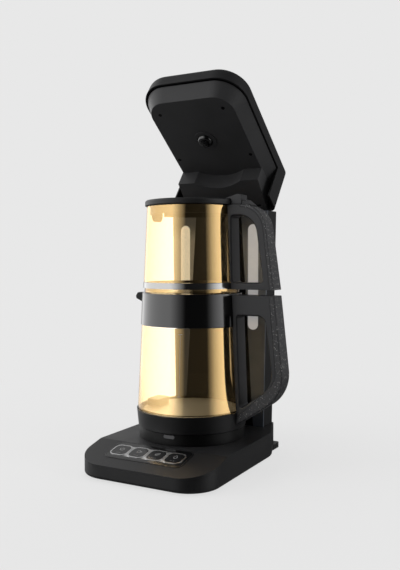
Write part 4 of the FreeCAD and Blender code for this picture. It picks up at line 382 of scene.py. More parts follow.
def paleLens(name, lens):
    # moulded acrylic diffuser: milky body under a clear skin, glowing a little with painted light,
    # more on the left
    material, tree, shader = newFinish(
        name, IOR=lensSkin["ior"], Roughness=lens["roughness"], Coat_Weight=lensSkin["coat"],
        Coat_Roughness=lensSkin["coatRoughness"], Emission_Strength=lens["glow"])
    place = addNode(tree, "ShaderNodeTexCoord").outputs["Object"]
    milk = addNode(tree, "ShaderNodeTexNoise", {
        "Vector": place, "Scale": 1 / (lensSkin["milk"] * mm), "Detail": lensSkin["milkDetail"]})
    tone = addNode(tree, "ShaderNodeMix", {
        "Factor": milk.outputs["Fac"], toneA: hexColour(lens["dark"]), toneB: hexColour(lens["light"])},
        data_type="RGBA")
    tree.links.new(tone.outputs[toneOut], shader.inputs["Base Color"])
    # painted glow, brighter on the left than on the right
    across = addNode(tree, "ShaderNodeSeparateXYZ", {"Vector": place}).outputs["X"]
    left = addNode(tree, "ShaderNodeMapRange", {
        "Value": across, "From Min": lensSkin["paintedGlowSeam"] * mm, "From Max": -lensSkin["paintedGlowSeam"] * mm})
    glow = addNode(tree, "ShaderNodeMix", {
        "Factor": left.outputs["Result"],
        toneA: hexColour(lens["paintedGlowRight"]), toneB: hexColour(lens["paintedGlowLeft"])}, data_type="RGBA")
    tree.links.new(glow.outputs[toneOut], shader.inputs["Emission Color"])
    return material


windowAcrylic = paleLens("milkyWindowAcrylic", {
    "dark": "C4C4C2", "light": "D2D2D0", "roughness": 0.35,
    "paintedGlowRight": "909092", "paintedGlowLeft": "FFFFFF", "glow": 0.8})
lensAcrylic = paleLens("clearLensAcrylic", {
    "dark": "5C5C5E", "light": "707072", "roughness": 0.15,
    "paintedGlowRight": "000000", "paintedGlowLeft": "000000", "glow": 0.0})

rubberSkin = {"ior": 1.45, "sheen": 0.15, "bloom": 4.545, "bloomDetail": 4, "smoothest": 0.6, "dullest": 0.85}


def softRubber(name, rubber):
    # pressed silicone or rubber: dull skin with a faint bloom
    material, tree, shader = newFinish(name, IOR=rubberSkin["ior"], Sheen_Weight=rubberSkin["sheen"])
    place = addNode(tree, "ShaderNodeTexCoord").outputs["Object"]
    bloom = addNode(tree, "ShaderNodeTexNoise", {
        "Vector": place, "Scale": 1 / (rubberSkin["bloom"] * mm), "Detail": rubberSkin["bloomDetail"]})
    tone = addNode(tree, "ShaderNodeMix", {
        "Factor": bloom.outputs["Fac"], toneA: hexColour(rubber["dark"]), toneB: hexColour(rubber["light"])},
        data_type="RGBA")
    tree.links.new(tone.outputs[toneOut], shader.inputs["Base Color"])
    rough = addNode(tree, "ShaderNodeMapRange", {
        "Value": bloom.outputs["Fac"], "To Min": rubberSkin["smoothest"], "To Max": rubberSkin["dullest"]})
    tree.links.new(rough.outputs["Result"], shader.inputs["Roughness"])
    return material


footRubber = softRubber("footRubber", {"dark": "161616", "light": "202020"})
hoseSilicone = softRubber("hoseSilicone", {"dark": "BDB9AE", "light": "D2CFC6"})
sealSilicone = softRubber("sealSilicone", {"dark": "B4B0A6", "light": "C6C2B8"})

board = {
    "mask": "1F5A34", "maskShade": "1A4D2D", "track": "3E8A55", "pitch": 11.11, "trackShare": 0.03,
    "ior": 1.5, "roughness": 0.35, "coat": 0.3,
}


def laminateBoard():
    # glass-epoxy laminate under green solder mask, with its copper tracks showing as paler lines
    material, tree, shader = newFinish(
        "greenLaminateBoard", IOR=board["ior"], Roughness=board["roughness"], Coat_Weight=board["coat"])
    place = addNode(tree, "ShaderNodeTexCoord").outputs["Object"]
    tracks = addNode(tree, "ShaderNodeTexBrick", {
        "Vector": place, "Scale": 1 / (board["pitch"] * mm), "Mortar Size": board["trackShare"],
        "Color1": hexColour(board["mask"]), "Color2": hexColour(board["maskShade"]),
        "Mortar": hexColour(board["track"])})
    tree.links.new(tracks.outputs["Color"], shader.inputs["Base Color"])
    return material


greenBoard = laminateBoard()
ink = {"thin": "9C9C9C", "full": "C8C8C8", "speck": 0.6667, "speckDetail": 2, "ior": 1.5, "roughness": 0.5}


def printedMark():
    # pad-printed ink, a little uneven in its cover
    material, tree, shader = newFinish("paleMarkInk", IOR=ink["ior"], Roughness=ink["roughness"])
    place = addNode(tree, "ShaderNodeTexCoord").outputs["Object"]
    cover = addNode(tree, "ShaderNodeTexNoise", {
        "Vector": place, "Scale": 1 / (ink["speck"] * mm), "Detail": ink["speckDetail"]})
    tone = addNode(tree, "ShaderNodeMix", {
        "Factor": cover.outputs["Fac"], toneA: hexColour(ink["thin"]), toneB: hexColour(ink["full"])},
        data_type="RGBA")
    tree.links.new(tone.outputs[toneOut], shader.inputs["Base Color"])
    return material


markInk = printedMark()
print("finishes made:", len(bpy.data.materials))


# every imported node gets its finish

finishOf = {
    satinAbs: ["base_housing", "base_top_cover", "cable_bushing"],
    columnAcrylic: ["column_front_cover"],
    shellAbs: ["column_rear_shell", "hinge_barrel"],
    lidCoverAbs: ["lid_cover"],
    lidAbs: ["lid_inner_panel", "nozzle_ring", "lid_hinge_block", "lid_hinge_pin"],
    innerAbsAndPaintedShade: ["key_switches", "power_connector", "docking_port", "kettle_socket", "kettle_underside",
               "outlet_valve", "thermostat", "kettle_spout"],
    pumpPlastic: ["pump_body"],
    handleNylon: ["kettle_handle_frame", "teapot_handle_frame", "thumb_lever"],
    stonePlastic: ["kettle_handle_cover", "teapot_handle_cover"],
    pianoBlack: ["control_panel", "key_1", "key_2", "key_3", "key_4", "kettle_collar", "nozzle_dome"],
    ringBlack: ["kettle_base_ring"],
    discBlack: ["power_disc"],
    rimBlack: ["teapot_lid"],
    bandSteel: ["teapot_band"],
    plateSteel: ["heater_plate"],
    meshSteel: ["spout_strainer", "outlet_hood"],
    satinChrome: ["key_rings"],
    screwSteel: ["base_screws", "column_screws", "kettle_handle_screws", "hinge_pins", "pump_motor",
                 "hinge_damper"],
    darkScrewSteel: ["lid_screws"],
    elementMetal: ["heating_element"],
    windowAcrylic: ["column_windows"],
    lensAcrylic: ["disc_lens"],
    footRubber: ["rubber_foot"],
    hoseSilicone: ["inlet_hose", "riser_hose", "lid_hose"],
    sealSilicone: ["kettle_seal"],
    greenBoard: ["control_board", "power_board", "light_boards"],
    lustreGlass: ["kettle_glass", "teapot_glass"],
}
for finish, names in finishOf.items():
    for name in names:
        mesh = nodes[name].data
        mesh.materials.clear()
        mesh.materials.append(finish)
unfinished = set(nodes) - {name for names in finishOf.values() for name in names}
print("nodes without a finish:", sorted(unfinished))


# spun glass: a wall whose outline is turned about the pots' axis

def arcedLine(points, steps):
    # points (radius, height, rounding) in millimetres; a rounding other than 0 becomes an arc of so many steps
    line = []
    for index, (r, z, rounding) in enumerate(points):
        if rounding == 0 or index in (0, len(points) - 1):
            line.append((r, z))
            continue
        corner = Vector((r, z))
        before = (Vector(points[index - 1][:2]) - corner).normalized()
        after = (Vector(points[index + 1][:2]) - corner).normalized()
        reach = rounding / math.tan(before.angle(after) / 2)
        start, stop = corner + before * reach, corner + after * reach
        for step in range(steps + 1):
            t = step / steps
            spot = start * (1 - t) ** 2 + corner * 2 * t * (1 - t) + stop * t ** 2
            line.append((spot.x, spot.y))
    return line


def roundedOutline(points, steps=5, run=3.0):
    # the arced line, with each long run divided evenly so that no piece of it is over run millimetres
    line = arcedLine(points, steps)
    even = [line[0]]
    for spot in line[1:]:
        last = even[-1]
        pieces = max(1, math.ceil(math.dist(last, spot) / run))
        even += [(last[0] + (spot[0] - last[0]) * i / pieces, last[1] + (spot[1] - last[1]) * i / pieces)
                 for i in range(1, pieces + 1)]
    return even


def spunWallTree():
    tree, given, out = geometryTree("spunWall", [
        ("Segments", "NodeSocketInt", 192), ("Weld Distance", "NodeSocketFloat", 2 * weld * mm),
        ("Glass Finish", "NodeSocketMaterial", None)])
    size = addNode(tree, "GeometryNodeAttributeDomainSize", {"Geometry": given.outputs["Geometry"]})
    columns = addNode(tree, "ShaderNodeMath", {0: given.outputs["Segments"], 1: 1}, operation="ADD")
    # a grid with a row for each point of the outline and a column for each segment
    grid = addNode(tree, "GeometryNodeMeshGrid", {
        "Size X": 1, "Size Y": 1, "Vertices X": columns.outputs[0], "Vertices Y": size.outputs["Point Count"]})
    place = addNode(tree, "GeometryNodeInputPosition").outputs["Position"]
    parts = addNode(tree, "ShaderNodeSeparateXYZ", {"Vector": place})
    last = addNode(tree, "ShaderNodeMath", {0: size.outputs["Point Count"], 1: 1}, operation="SUBTRACT")
    share = addNode(tree, "ShaderNodeMath", {0: parts.outputs["Y"], 1: 0.5}, operation="ADD")
    row = addNode(tree, "ShaderNodeMath", {0: share.outputs[0], 1: last.outputs[0]}, operation="MULTIPLY")
    whole = addNode(tree, "ShaderNodeMath", {0: row.outputs[0]}, operation="ROUND")
    spot = addNode(tree, "GeometryNodeSampleIndex", {
        "Geometry": given.outputs["Geometry"], "Index": whole.outputs[0]}, data_type="FLOAT_VECTOR")
    tree.links.new(place, spot.inputs["Value"])
    # the grid is 1 wide, so its X is the share of a whole turn
    turn = addNode(tree, "ShaderNodeMath", {0: parts.outputs["X"], 1: 2 * math.pi}, operation="MULTIPLY")
    turned = addNode(tree, "ShaderNodeVectorRotate", {
        "Vector": spot.outputs["Value"], "Angle": turn.outputs[0]}, rotation_type="Z_AXIS")
    moved = addNode(tree, "GeometryNodeSetPosition", {
        "Geometry": grid.outputs["Mesh"], "Position": turned.outputs["Vector"]})
    closed = addNode(tree, "GeometryNodeMergeByDistance", {
        "Geometry": moved.outputs["Geometry"], "Distance": given.outputs["Weld Distance"]})
    smooth = addNode(tree, "GeometryNodeSetShadeSmooth", {"Geometry": closed.outputs["Geometry"]})
    real = addNode(tree, "GeometryNodeRealizeInstances", {"Geometry": smooth.outputs["Geometry"]})
    finished = addNode(tree, "GeometryNodeSetMaterial", {
        "Geometry": real.outputs["Geometry"], "Material": given.outputs["Glass Finish"]})
    tree.links.new(finished.outputs["Geometry"], out.inputs["Geometry"])
    return tree


spunWall = spunWallTree()
floorLean = 0.5  # a face whose normal leans up by more than this belongs to a pot's floor


def spunGlass(name, shape):
    seed = bpy.data.meshes.new(name + "Outline")
    seed.from_pydata([(r * mm, 0, z * mm) for r, z in roundedOutline(shape["outline"])], [], [])
    glass = grownPiece(name, spunWall, {"Segments": shape["segments"], "Glass Finish": lustreGlass}, seed)
    glass.data.materials.clear()
    glass.data.materials.append(lustreGlass)
    glass.data.materials.append(clearGlass)
    bm = bmesh.new()
    bm.from_mesh(glass.data)
    bmesh.ops.recalc_face_normals(bm, faces=bm.faces)
    # faces that look towards the axis, or up from a floor, are the inside of the wall and have no film
    for face in bm.faces:
        middle = face.calc_center_median()
        inside = face.normal.x * middle.x + face.normal.y * middle.y < 0 or face.normal.z > floorLean
        face.material_index = 1 if inside else 0
    bm.to_mesh(glass.data)
    bm.free()
    return glass


kettleFoot = (75.6, 74.2)  # radius and height of the wall's outside, just over its seat
kettleTop = (70.0, 190.1)  # and where it meets the collar
kettleGlassShape = {
    "segments": 192,
    # outside from the seat up to the collar, then back down inside; the shoulder is full and round
    "outline": [
        (70.2, 62, 0), (72.6, 62, 0.6), (72.6, 74.2, 0.6), (*kettleFoot, 1.0), (75.3, 80, 0), (*kettleTop, 1.0),
        (68, 190.1, 0.6), (68, 205, 0.6), (65.6, 205, 0.6), (67.6, 187.7, 2), (72.9, 80, 0), (73.2, 76.4, 1.5),
        (70.2, 74.4, 1.5), (70.2, 62, 0)],
}
kettleGlass = spunGlass("kettleGlass", kettleGlassShape)
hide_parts("kettle_glass")
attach(kettleGlass, "kettle")

teapotGlassShape = {
    "segments": 192,
    # outside from the middle of the floor up to the rim, then back down inside
    "outline": [
        (0, 226.3, 0), (60.5, 226.3, 2), (60.5, 234.3, 1), (66, 234.3, 1.5), (66, 248.7, 0.4),
        (67, 248.7, 0.4), (62.3, 352.4, 0.9), (59.9, 352.4, 0.9), (64.6, 248.5, 2), (63.6, 240.5, 4),
        (58.1, 236.7, 3), (58.1, 228.7, 3), (0, 228.7, 0)],
}
teapotGlass = spunGlass("teapotGlass", teapotGlassShape)
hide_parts("teapot_glass")
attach(teapotGlass, "teapot")
print("glass spun:", len(kettleGlass.data.polygons), len(teapotGlass.data.polygons), "faces")


# a ring of fine teeth round the heater plate, where the glass grips its seal

def toothRingTree():
    tree, given, out = geometryTree("toothRing", [
        ("Teeth", "NodeSocketInt", 150), ("Radius", "NodeSocketFloat", 0.07),
        ("Height", "NodeSocketFloat", 0.07), ("Tooth Size", "NodeSocketVector", (0.001, 0.001, 0.001)),
        ("Tooth Finish", "NodeSocketMaterial", None)])
    ring = addNode(tree, "GeometryNodeMeshCircle", {
        "Vertices": given.outputs["Teeth"], "Radius": given.outputs["Radius"]}, fill_type="NONE")
    tooth = addNode(tree, "GeometryNodeMeshCube", {"Size": given.outputs["Tooth Size"]})
    place = addNode(tree, "GeometryNodeInputPosition").outputs["Position"]
    facing = addNode(tree, "FunctionNodeAlignRotationToVector", {"Vector": place}, axis="X")
    copies = addNode(tree, "GeometryNodeInstanceOnPoints", {
        "Points": ring.outputs["Mesh"], "Instance": tooth.outputs["Mesh"],
        "Rotation": facing.outputs["Rotation"]})
    lift = addNode(tree, "ShaderNodeCombineXYZ", {"Z": given.outputs["Height"]})
    raised = addNode(tree, "GeometryNodeTransform", {
        "Geometry": copies.outputs["Instances"], "Translation": lift.outputs["Vector"]})
    real = addNode(tree, "GeometryNodeRealizeInstances", {"Geometry": raised.outputs["Geometry"]})
    finished = addNode(tree, "GeometryNodeSetMaterial", {
        "Geometry": real.outputs["Geometry"], "Material": given.outputs["Tooth Finish"]})
    tree.links.new(finished.outputs["Geometry"], out.inputs["Geometry"])
    return tree


plateTeethShape = {
    "Teeth": 140, "Radius": 69.2 * mm, "Height": 72.6 * mm, "Tooth Size": (1.2 * mm, 1.3 * mm, 1.2 * mm),
    "Tooth Finish": meshSteel,
}
plateTeeth = grownPiece("plateTeeth", toothRingTree(), plateTeethShape)
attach(plateTeeth, "kettle")
print("plate teeth:", plateTeethShape["Teeth"])


# level marks on the kettle's glass: short bars and a thin line, printed on the outside

levelMarkShape = {
    "count": 2, "lowest": 100.9, "highest": 181.9, "across": 20.5, "frontReach": 72,
    "width": 4.6, "tallness": 0.7, "thickness": 0.12, "standOff": 0.1,
    "lineWidth": 0.35, "lineHalfDepth": 0.05, "lineEndGap": 1,
}
# the marks turn to face the way that the wall faces there
markAngle = math.atan2(levelMarkShape["across"], levelMarkShape["frontReach"])


def markRowTree():
    tree, given, out = geometryTree("markRow", [
        ("Marks", "NodeSocketInt", 2), ("First", "NodeSocketVector", (0, 0, 0)),
        ("Last", "NodeSocketVector", (0, 0, 0.1)), ("Mark Size", "NodeSocketVector", (0.004, 0.0002, 0.0006)),
        ("Turn", "NodeSocketRotation", None), ("Mark Finish", "NodeSocketMaterial", None)])
    row = addNode(tree, "GeometryNodeMeshLine", {
        "Count": given.outputs["Marks"], "Start Location": given.outputs["First"],
        "Offset": given.outputs["Last"]}, mode="END_POINTS")
    bar = addNode(tree, "GeometryNodeMeshCube", {"Size": given.outputs["Mark Size"]})
    copies = addNode(tree, "GeometryNodeInstanceOnPoints", {
        "Points": row.outputs["Mesh"], "Instance": bar.outputs["Mesh"], "Rotation": given.outputs["Turn"]})
    real = addNode(tree, "GeometryNodeRealizeInstances", {"Geometry": copies.outputs["Instances"]})
    finished = addNode(tree, "GeometryNodeSetMaterial", {
        "Geometry": real.outputs["Geometry"], "Material": given.outputs["Mark Finish"]})
    tree.links.new(finished.outputs["Geometry"], out.inputs["Geometry"])
    return tree


def glassRadius(height):
    # the outside of the kettle's wall, tapering from its foot to the collar
    (footRadius, footHeight), (topRadius, topHeight) = kettleFoot, kettleTop
    return footRadius + (topRadius - footRadius) * (height - footHeight) / (topHeight - footHeight)


def onGlass(height):
    radius = glassRadius(height) + levelMarkShape["standOff"]
    across = levelMarkShape["across"]
    return (across * mm, -math.sqrt(radius ** 2 - across ** 2) * mm, height * mm)


markRow = markRowTree()
levelMarks = grownPiece("levelMarks", markRow, {
    "Marks": levelMarkShape["count"],
    "First": onGlass(levelMarkShape["lowest"]), "Last": onGlass(levelMarkShape["highest"]),
    "Mark Size": [levelMarkShape[side] * mm for side in ("width", "thickness", "tallness")],
    "Turn": (0, 0, markAngle), "Mark Finish": markInk})
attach(levelMarks, "kettle")


def levelLine(bm):
    # a thin upright bar from the lowest mark to the highest
    gap, c, s = levelMarkShape["lineEndGap"], math.cos(markAngle), math.sin(markAngle)
    aside = Vector((c, s, 0)) * levelMarkShape["lineWidth"] / 2
    outward = Vector((s, -c, 0)) * levelMarkShape["lineHalfDepth"]
    around = [aside * a + outward * b for a, b in ((-1, -1), (1, -1), (1, 1), (-1, 1))]
    low, high = [[bm.verts.new(Vector(onGlass(height)) / mm + offset) for offset in around]
                 for height in (levelMarkShape["lowest"] + gap, levelMarkShape["highest"] - gap)]
    for i in range(4):
        bm.faces.new([low[i], low[(i + 1) % 4], high[(i + 1) % 4], high[i]])
    bm.faces.new(low)
    bm.faces.new(high)


levelRule = meshPiece("levelRule", levelLine, markInk)
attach(levelRule, "kettle")
print("level marks:", levelMarkShape["count"])


# control panel: a bead round it, and a picture on each key

panelSlope = {"lean": math.radians(13.2), "topY": -82, "topZ": 35.5}


def onSlope(x, down, height):
    # x across, down the slope from its top edge, height above it, all in millimetres
    c, s = math.cos(panelSlope["lean"]), math.sin(panelSlope["lean"])
    return Vector((x, panelSlope["topY"] - down * c - height * s, panelSlope["topZ"] - down * s + height * c))


def roundedBox(left, right, low, high, radius, steps=8):
    corners = ((right - radius, low + radius, -90), (right - radius, high - radius, 0),
               (left + radius, high - radius, 90), (left + radius, low + radius, 180))
    spots = [(cx, cy, math.radians(start + 90 * step / steps))
             for cx, cy, start in corners for step in range(steps + 1)]
    return [(cx + radius * math.cos(turn), cy + radius * math.sin(turn)) for cx, cy, turn in spots]


def flatLine(bm, path, line, closed):
    # a raised line of constant width that follows a path on the slope
    count, height = len(path), line["height"]
    rings = []
    for i, (x, y) in enumerate(path):
        back = path[i - 1] if closed or i else path[i]
        ahead = path[(i + 1) % count] if closed or i < count - 1 else path[i]
        way = Vector((ahead[0] - back[0], ahead[1] - back[1])).normalized()
        side = Vector((-way.y, way.x)) * line["width"] / 2
        rings.append([bm.verts.new(onSlope(x + a * side.x, y + a * side.y, height + h))
                      for a, h in ((1, 0), (-1, 0), (-1, line["thickness"]), (1, line["thickness"]))])
    for i in range(count if closed else count - 1):
        one, two = rings[i], rings[(i + 1) % count]
        for k in range(4):
            bm.faces.new([one[k], one[(k + 1) % 4], two[(k + 1) % 4], two[k]])
    if not closed:
        bm.faces.new(rings[0])
        bm.faces.new(rings[-1])


panelBeadShape = {
    "left": -63, "right": 53, "top": 1.5, "bottom": 44.5, "radius": 9, "inset": 1.0,
    "line": {"width": 0.7, "height": 0.4, "thickness": 0.12},
}


def panelBead(bm):
    b, inset = panelBeadShape, panelBeadShape["inset"]
    path = roundedBox(b["left"] + inset, b["right"] - inset, b["top"] + inset, b["bottom"] - inset,
                      b["radius"] - inset)
    flatLine(bm, path, b["line"], True)


bead = meshPiece("panelBead", panelBead, satinAbs)
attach(bead, "stand")

keyPictures = {
    "middleDown": 21.2, "line": {"width": 0.5, "height": 0.8, "thickness": 0.1},
    "centres": {"key_1": -47, "key_2": -20, "key_3": 7, "key_4": 34},
    # each picture is a set of lines in millimetres round the key's middle, with down the slope as +y
    "lines": {
        # a broken ring with a bar at its top
        "key_1": [[(3 * math.sin(math.radians(a)), -3 * math.cos(math.radians(a))) for a in range(40, 321, 20)],
                  [(0, -3.9), (0, -0.6)]],
        # a cup
        "key_2": [[(-3.2, -1.4), (2.2, -1.4), (1.7, 2.4), (-2.7, 2.4), (-3.2, -1.4)],
                  [(2.2, -0.8), (3.7, -0.6), (3.5, 1.1), (2.0, 1.3)], [(-1.4, -2.4), (-0.9, -3.2), (-1.4, -4)]],
        # a leaf
        "key_3": [[(-2.6, 2.6), (-2.4, -0.6), (0, -2.8), (3, -3.2), (2.7, -0.1), (0.6, 2.2), (-2.6, 2.6)],
                  [(-2.6, 2.6), (1.2, -1.3)]],
        # a drop
        "key_4": [[(0, -4), (1.6, -1.8), (2.6, 0.4), (1.8, 2.4), (0, 3), (-1.8, 2.4), (-2.6, 0.4), (-1.6, -1.8),
                   (0, -4)]],
    },
}
keyLamps = {"count": 3, "down": 30.5, "height": 0.8, "reach": 2.4, "size": (1.3, 0.6, 0.2)}


def keyPicture(bm, key, centre):
    for line in keyPictures["lines"][key]:
        path = [(centre + x, keyPictures["middleDown"] + y) for x, y in line]
        closed = path[0] == path[-1]
        flatLine(bm, path[:-1] if closed else path, keyPictures["line"], closed)


for key, centre in keyPictures["centres"].items():
    picture = meshPiece(key + "Picture", lambda bm: keyPicture(bm, key, centre), markInk)
    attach(picture, key)
    # small lamps in a row under the picture
    first, last = [onSlope(centre + x, keyLamps["down"], keyLamps["height"]) * mm
                   for x in (-keyLamps["reach"], keyLamps["reach"])]
    lampRow = grownPiece(key + "Lamps", markRow, {
        "Marks": keyLamps["count"], "First": tuple(first), "Last": tuple(last),
        "Mark Size": [side * mm for side in keyLamps["size"]],
        "Turn": (-panelSlope["lean"], 0, 0), "Mark Finish": markInk})
    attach(lampRow, key)
print("key pictures:", len(keyPictures["centres"]))


# the middle of the column's front: a flat near-black sheet of painted shade, standing for the dark recess
# between the two smoked strips

columnPaintedShade = {
    "front": 80, "thickness": 0.35, "low": 36, "high": 349.4, "halfLow": 57, "halfHigh": 37, "flare": 0.3,
}


def paintedShadeSheet(bm):
    c = columnPaintedShade
    corners = [(-c["halfLow"], c["low"]), (c["halfLow"], c["low"]),
               (c["halfHigh"], c["high"]), (-c["halfHigh"], c["high"])]
    front = [bm.verts.new((x, c["front"] - c["thickness"], z)) for x, z in corners]
    back = [bm.verts.new((x + math.copysign(c["flare"], x), c["front"], z)) for x, z in corners]
    bm.faces.new(front)
    bm.faces.new(back)
    for i in range(4):
        bm.faces.new([front[i], front[(i + 1) % 4], back[(i + 1) % 4], back[i]])


# the sheet takes the inner plastic's near-black as painted shade
shadeSheet = meshPiece("columnPaintedShade", paintedShadeSheet, innerAbsAndPaintedShade)
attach(shadeSheet, "stand")
print("column's dark middle laid on")


# camera, studio and lamps

cameraPlace = {
    "location": (0.4831, -0.8596, 0.2805), "tilt": 87.88, "turn": 28.69, "lens": 44.67, "sensor": 36,
    "nearest": 0.01,
}
camera = bpy.data.objects.new("camera", bpy.data.cameras.new("camera"))
camera.location = cameraPlace["location"]
camera.rotation_euler = (math.radians(cameraPlace["tilt"]), 0, math.radians(cameraPlace["turn"]))
camera.data.lens = cameraPlace["lens"]
camera.data.sensor_width = cameraPlace["sensor"]
camera.data.clip_start = cameraPlace["nearest"]
bpy.context.scene.collection.objects.link(camera)
bpy.context.scene.camera = camera

studio = {
    "paper": "E8E8E8", "paperInShade": "EDEDED", "fill": 0.24,
    # what gloss sees round the room: angle from the viewer's side, to the right, and how bright
    "walls": [(-180, 0.0), (-162, 0.0), (-148, 2.1), (-50, 2.1), (-30, 0.75), (-15, 0.02), (34, 0.03),
              (42, 0.45), (51, 1.1), (61, 1.7), (73, 2.3), (90, 2.5), (95, 0.4), (150, 0.25), (160, 0.0),
              (180, 0.0)],
    "backdrop": [(-180, 2.3), (-164, 2.3), (-152, 0.0), (168, 0.0), (175, 2.1), (180, 2.3)],
    "backdropInGloss": 0.22,
    # how much of the walls, of the backdrop and of plain light gloss sees at each height,
    # from straight down to straight up
    "wallShare": [(-90, 0.0), (-45, 0.0), (-14, 0.12), (-7, 1.0), (35, 1.0), (60, 0.15), (90, 0.0)],
    "backdropShare": [(-90, 0.0), (-45, 0.1), (-22, 1.0), (35, 1.0), (60, 0.15), (90, 0.0)],
    "plainLevel": [(-90, 0.2), (-45, 0.2), (-22, 0.0), (35, 0.0), (60, 0.2), (90, 0.3)],
    # the paper on the floor, in metres; floorLit is how much of it takes light and shadow near the object
    "floorLit": 0.16, "floorNear": 0.2, "floorFar": 0.75, "floorRadius": 0.9, "floorSides": 96,
}


def levelRamp(tree, angle, reach, levels):
    # levels (degrees, brightness) over an angle that runs from -reach to reach
    # a ramp holds no more than 1, so its levels are scaled down in it and up again after it
    top = max(level for degrees, level in levels)
    span = math.degrees(reach)
    share = addNode(tree, "ShaderNodeMapRange", {"Value": angle, "From Min": -reach, "From Max": reach})
    colours = addNode(tree, "ShaderNodeValToRGB", {"Fac": share.outputs["Result"]})
    ramp = colours.color_ramp
    while len(ramp.elements) > 1:
        ramp.elements.remove(ramp.elements[-1])
    for index, (degrees, level) in enumerate(levels):
        position = (degrees + span) / span / 2
        stop = ramp.elements[0] if index == 0 else ramp.elements.new(position)
        stop.position = position
        stop.color = (level / top, level / top, level / top, 1)
    whole = addNode(tree, "ShaderNodeMath", {0: colours.outputs["Color"], 1: top}, operation="MULTIPLY")
    return whole.outputs[0]


def studioWorld():
    world = bpy.data.worlds.new("studio")
    world.use_nodes = True
    tree = world.node_tree
    tree.nodes.clear()
    white = hexColour("FFFFFF")
    rays = addNode(tree, "ShaderNodeLightPath")
    view = addNode(tree, "ShaderNodeTexCoord").outputs["Generated"]
    c, s = math.cos(math.radians(cameraPlace["turn"])), math.sin(math.radians(cameraPlace["turn"]))
    toViewer = addNode(tree, "ShaderNodeVectorMath", {0: view, 1: (s, -c, 0)}, operation="DOT_PRODUCT")
    toRight = addNode(tree, "ShaderNodeVectorMath", {0: view, 1: (c, s, 0)}, operation="DOT_PRODUCT")
    around = addNode(tree, "ShaderNodeMath", {
        0: toRight.outputs["Value"], 1: toViewer.outputs["Value"]}, operation="ARCTAN2").outputs[0]
    upward = addNode(tree, "ShaderNodeSeparateXYZ", {"Vector": view}).outputs["Z"]
    height = addNode(tree, "ShaderNodeMath", {0: upward}, operation="ARCSINE").outputs[0]
    walls = levelRamp(tree, around, math.pi, studio["walls"])
    wallShare = levelRamp(tree, height, math.pi / 2, studio["wallShare"])
    plainLevel = levelRamp(tree, height, math.pi / 2, studio["plainLevel"])
    backdrop = levelRamp(tree, around, math.pi, studio["backdrop"])
    backdropShare = levelRamp(tree, height, math.pi / 2, studio["backdropShare"])
    sides = addNode(tree, "ShaderNodeMath", {0: walls, 1: wallShare, 2: plainLevel}, operation="MULTIPLY_ADD")
    # gloss meets less of the backdrop than glass does, because the paper behind is shaded near the object
    through = addNode(tree, "ShaderNodeMapRange", {
        "Value": rays.outputs["Is Transmission Ray"], "To Min": studio["backdropInGloss"]})
    lower = addNode(tree, "ShaderNodeMath", {
        0: backdropShare, 1: through.outputs["Result"]}, operation="MULTIPLY")
    seen = addNode(tree, "ShaderNodeMath", {
        0: backdrop, 1: lower.outputs[0], 2: sides.outputs[0]}, operation="MULTIPLY_ADD")
    mirrored = addNode(tree, "ShaderNodeMath", {
        0: rays.outputs["Is Glossy Ray"], 1: rays.outputs["Is Transmission Ray"]}, operation="MAXIMUM")
    wallLight = addNode(tree, "ShaderNodeBackground", {"Color": white, "Strength": seen.outputs[0]})
    fillLight = addNode(tree, "ShaderNodeBackground", {"Color": white, "Strength": studio["fill"]})
    paperLight = addNode(tree, "ShaderNodeBackground", {"Color": hexColour(studio["paper"]), "Strength": 1.0})
    gloss = addNode(tree, "ShaderNodeMixShader", {
        0: mirrored.outputs[0], 1: fillLight.outputs[0], 2: wallLight.outputs[0]})
    whole = addNode(tree, "ShaderNodeMixShader", {
        0: rays.outputs["Is Camera Ray"], 1: gloss.outputs[0], 2: paperLight.outputs[0]})
    addNode(tree, "ShaderNodeOutputWorld", {"Surface": whole.outputs[0]})
    # gloss then meets the walls only by its own rays, and never the plain fill
    world.cycles.sampling_method = "NONE"
    bpy.context.scene.world = world


studioWorld()


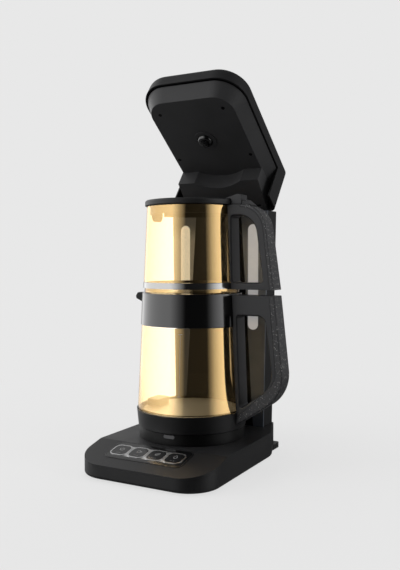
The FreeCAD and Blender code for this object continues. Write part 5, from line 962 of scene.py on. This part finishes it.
def studioFloor():
    # white paper that runs out of sight; close to the object it takes a soft shadow
    bm = bmesh.new()
    bmesh.ops.create_circle(bm, cap_ends=True, radius=studio["floorRadius"], segments=studio["floorSides"])
    mesh = bpy.data.meshes.new("paperFloor")
    bm.to_mesh(mesh)
    bm.free()
    floor = bpy.data.objects.new("paperFloor", mesh)
    bpy.context.scene.collection.objects.link(floor)
    material = bpy.data.materials.new("whitePaper")
    material.use_nodes = True
    tree = material.node_tree
    tree.nodes.clear()
    place = addNode(tree, "ShaderNodeTexCoord").outputs["Object"]
    away = addNode(tree, "ShaderNodeVectorMath", {0: place}, operation="LENGTH")
    near = addNode(tree, "ShaderNodeMapRange", {
        "Value": away.outputs["Value"], "From Min": studio["floorNear"], "From Max": studio["floorFar"],
        "To Min": studio["floorLit"], "To Max": 0.0}, interpolation_type="SMOOTHSTEP")
    paper = addNode(tree, "ShaderNodeBsdfDiffuse", {"Color": hexColour(studio["paperInShade"])})
    glow = addNode(tree, "ShaderNodeEmission", {"Color": hexColour(studio["paper"]), "Strength": 1.0})
    rays = addNode(tree, "ShaderNodeLightPath")
    seen = addNode(tree, "ShaderNodeMixShader", {
        0: near.outputs["Result"], 1: glow.outputs[0], 2: paper.outputs[0]})
    lit = addNode(tree, "ShaderNodeMixShader", {
        0: rays.outputs["Is Diffuse Ray"], 1: seen.outputs[0], 2: paper.outputs[0]})
    addNode(tree, "ShaderNodeOutputMaterial", {"Surface": lit.outputs[0]})
    material.cycles.emission_sampling = "NONE"
    mesh.materials.append(material)
    # gloss and glass meet the studio itself, so the paper is left out of them
    floor.visible_glossy = False
    floor.visible_transmission = False
    floor.visible_diffuse = False


studioFloor()

lamps = {
    "leftBox": {"place": (-1.3, -0.9, 1.1), "aim": (0, 0, 0.25), "size": 1.2, "power": 12},
    "rightStrip": {"place": (1.4, 0.2, 0.7), "aim": (0, 0, 0.25), "size": 0.5, "power": 5},
    "topBox": {"place": (-0.2, 0.2, 1.7), "aim": (0, 0, 0.2), "size": 1.0, "power": 14},
}
for name, lamp in lamps.items():
    light = bpy.data.lights.new(name, "AREA")
    light.size = lamp["size"]
    light.energy = lamp["power"]
    holder = bpy.data.objects.new(name, light)
    holder.location = lamp["place"]
    holder.rotation_euler = (Vector(lamp["aim"]) - Vector(lamp["place"])).to_track_quat("-Z", "Y").to_euler()
    # the walls stand for the lamps in gloss and glass
    holder.visible_glossy = False
    holder.visible_transmission = False
    bpy.context.scene.collection.objects.link(holder)
bpy.context.scene.view_settings.view_transform = "Standard"
print("studio set")
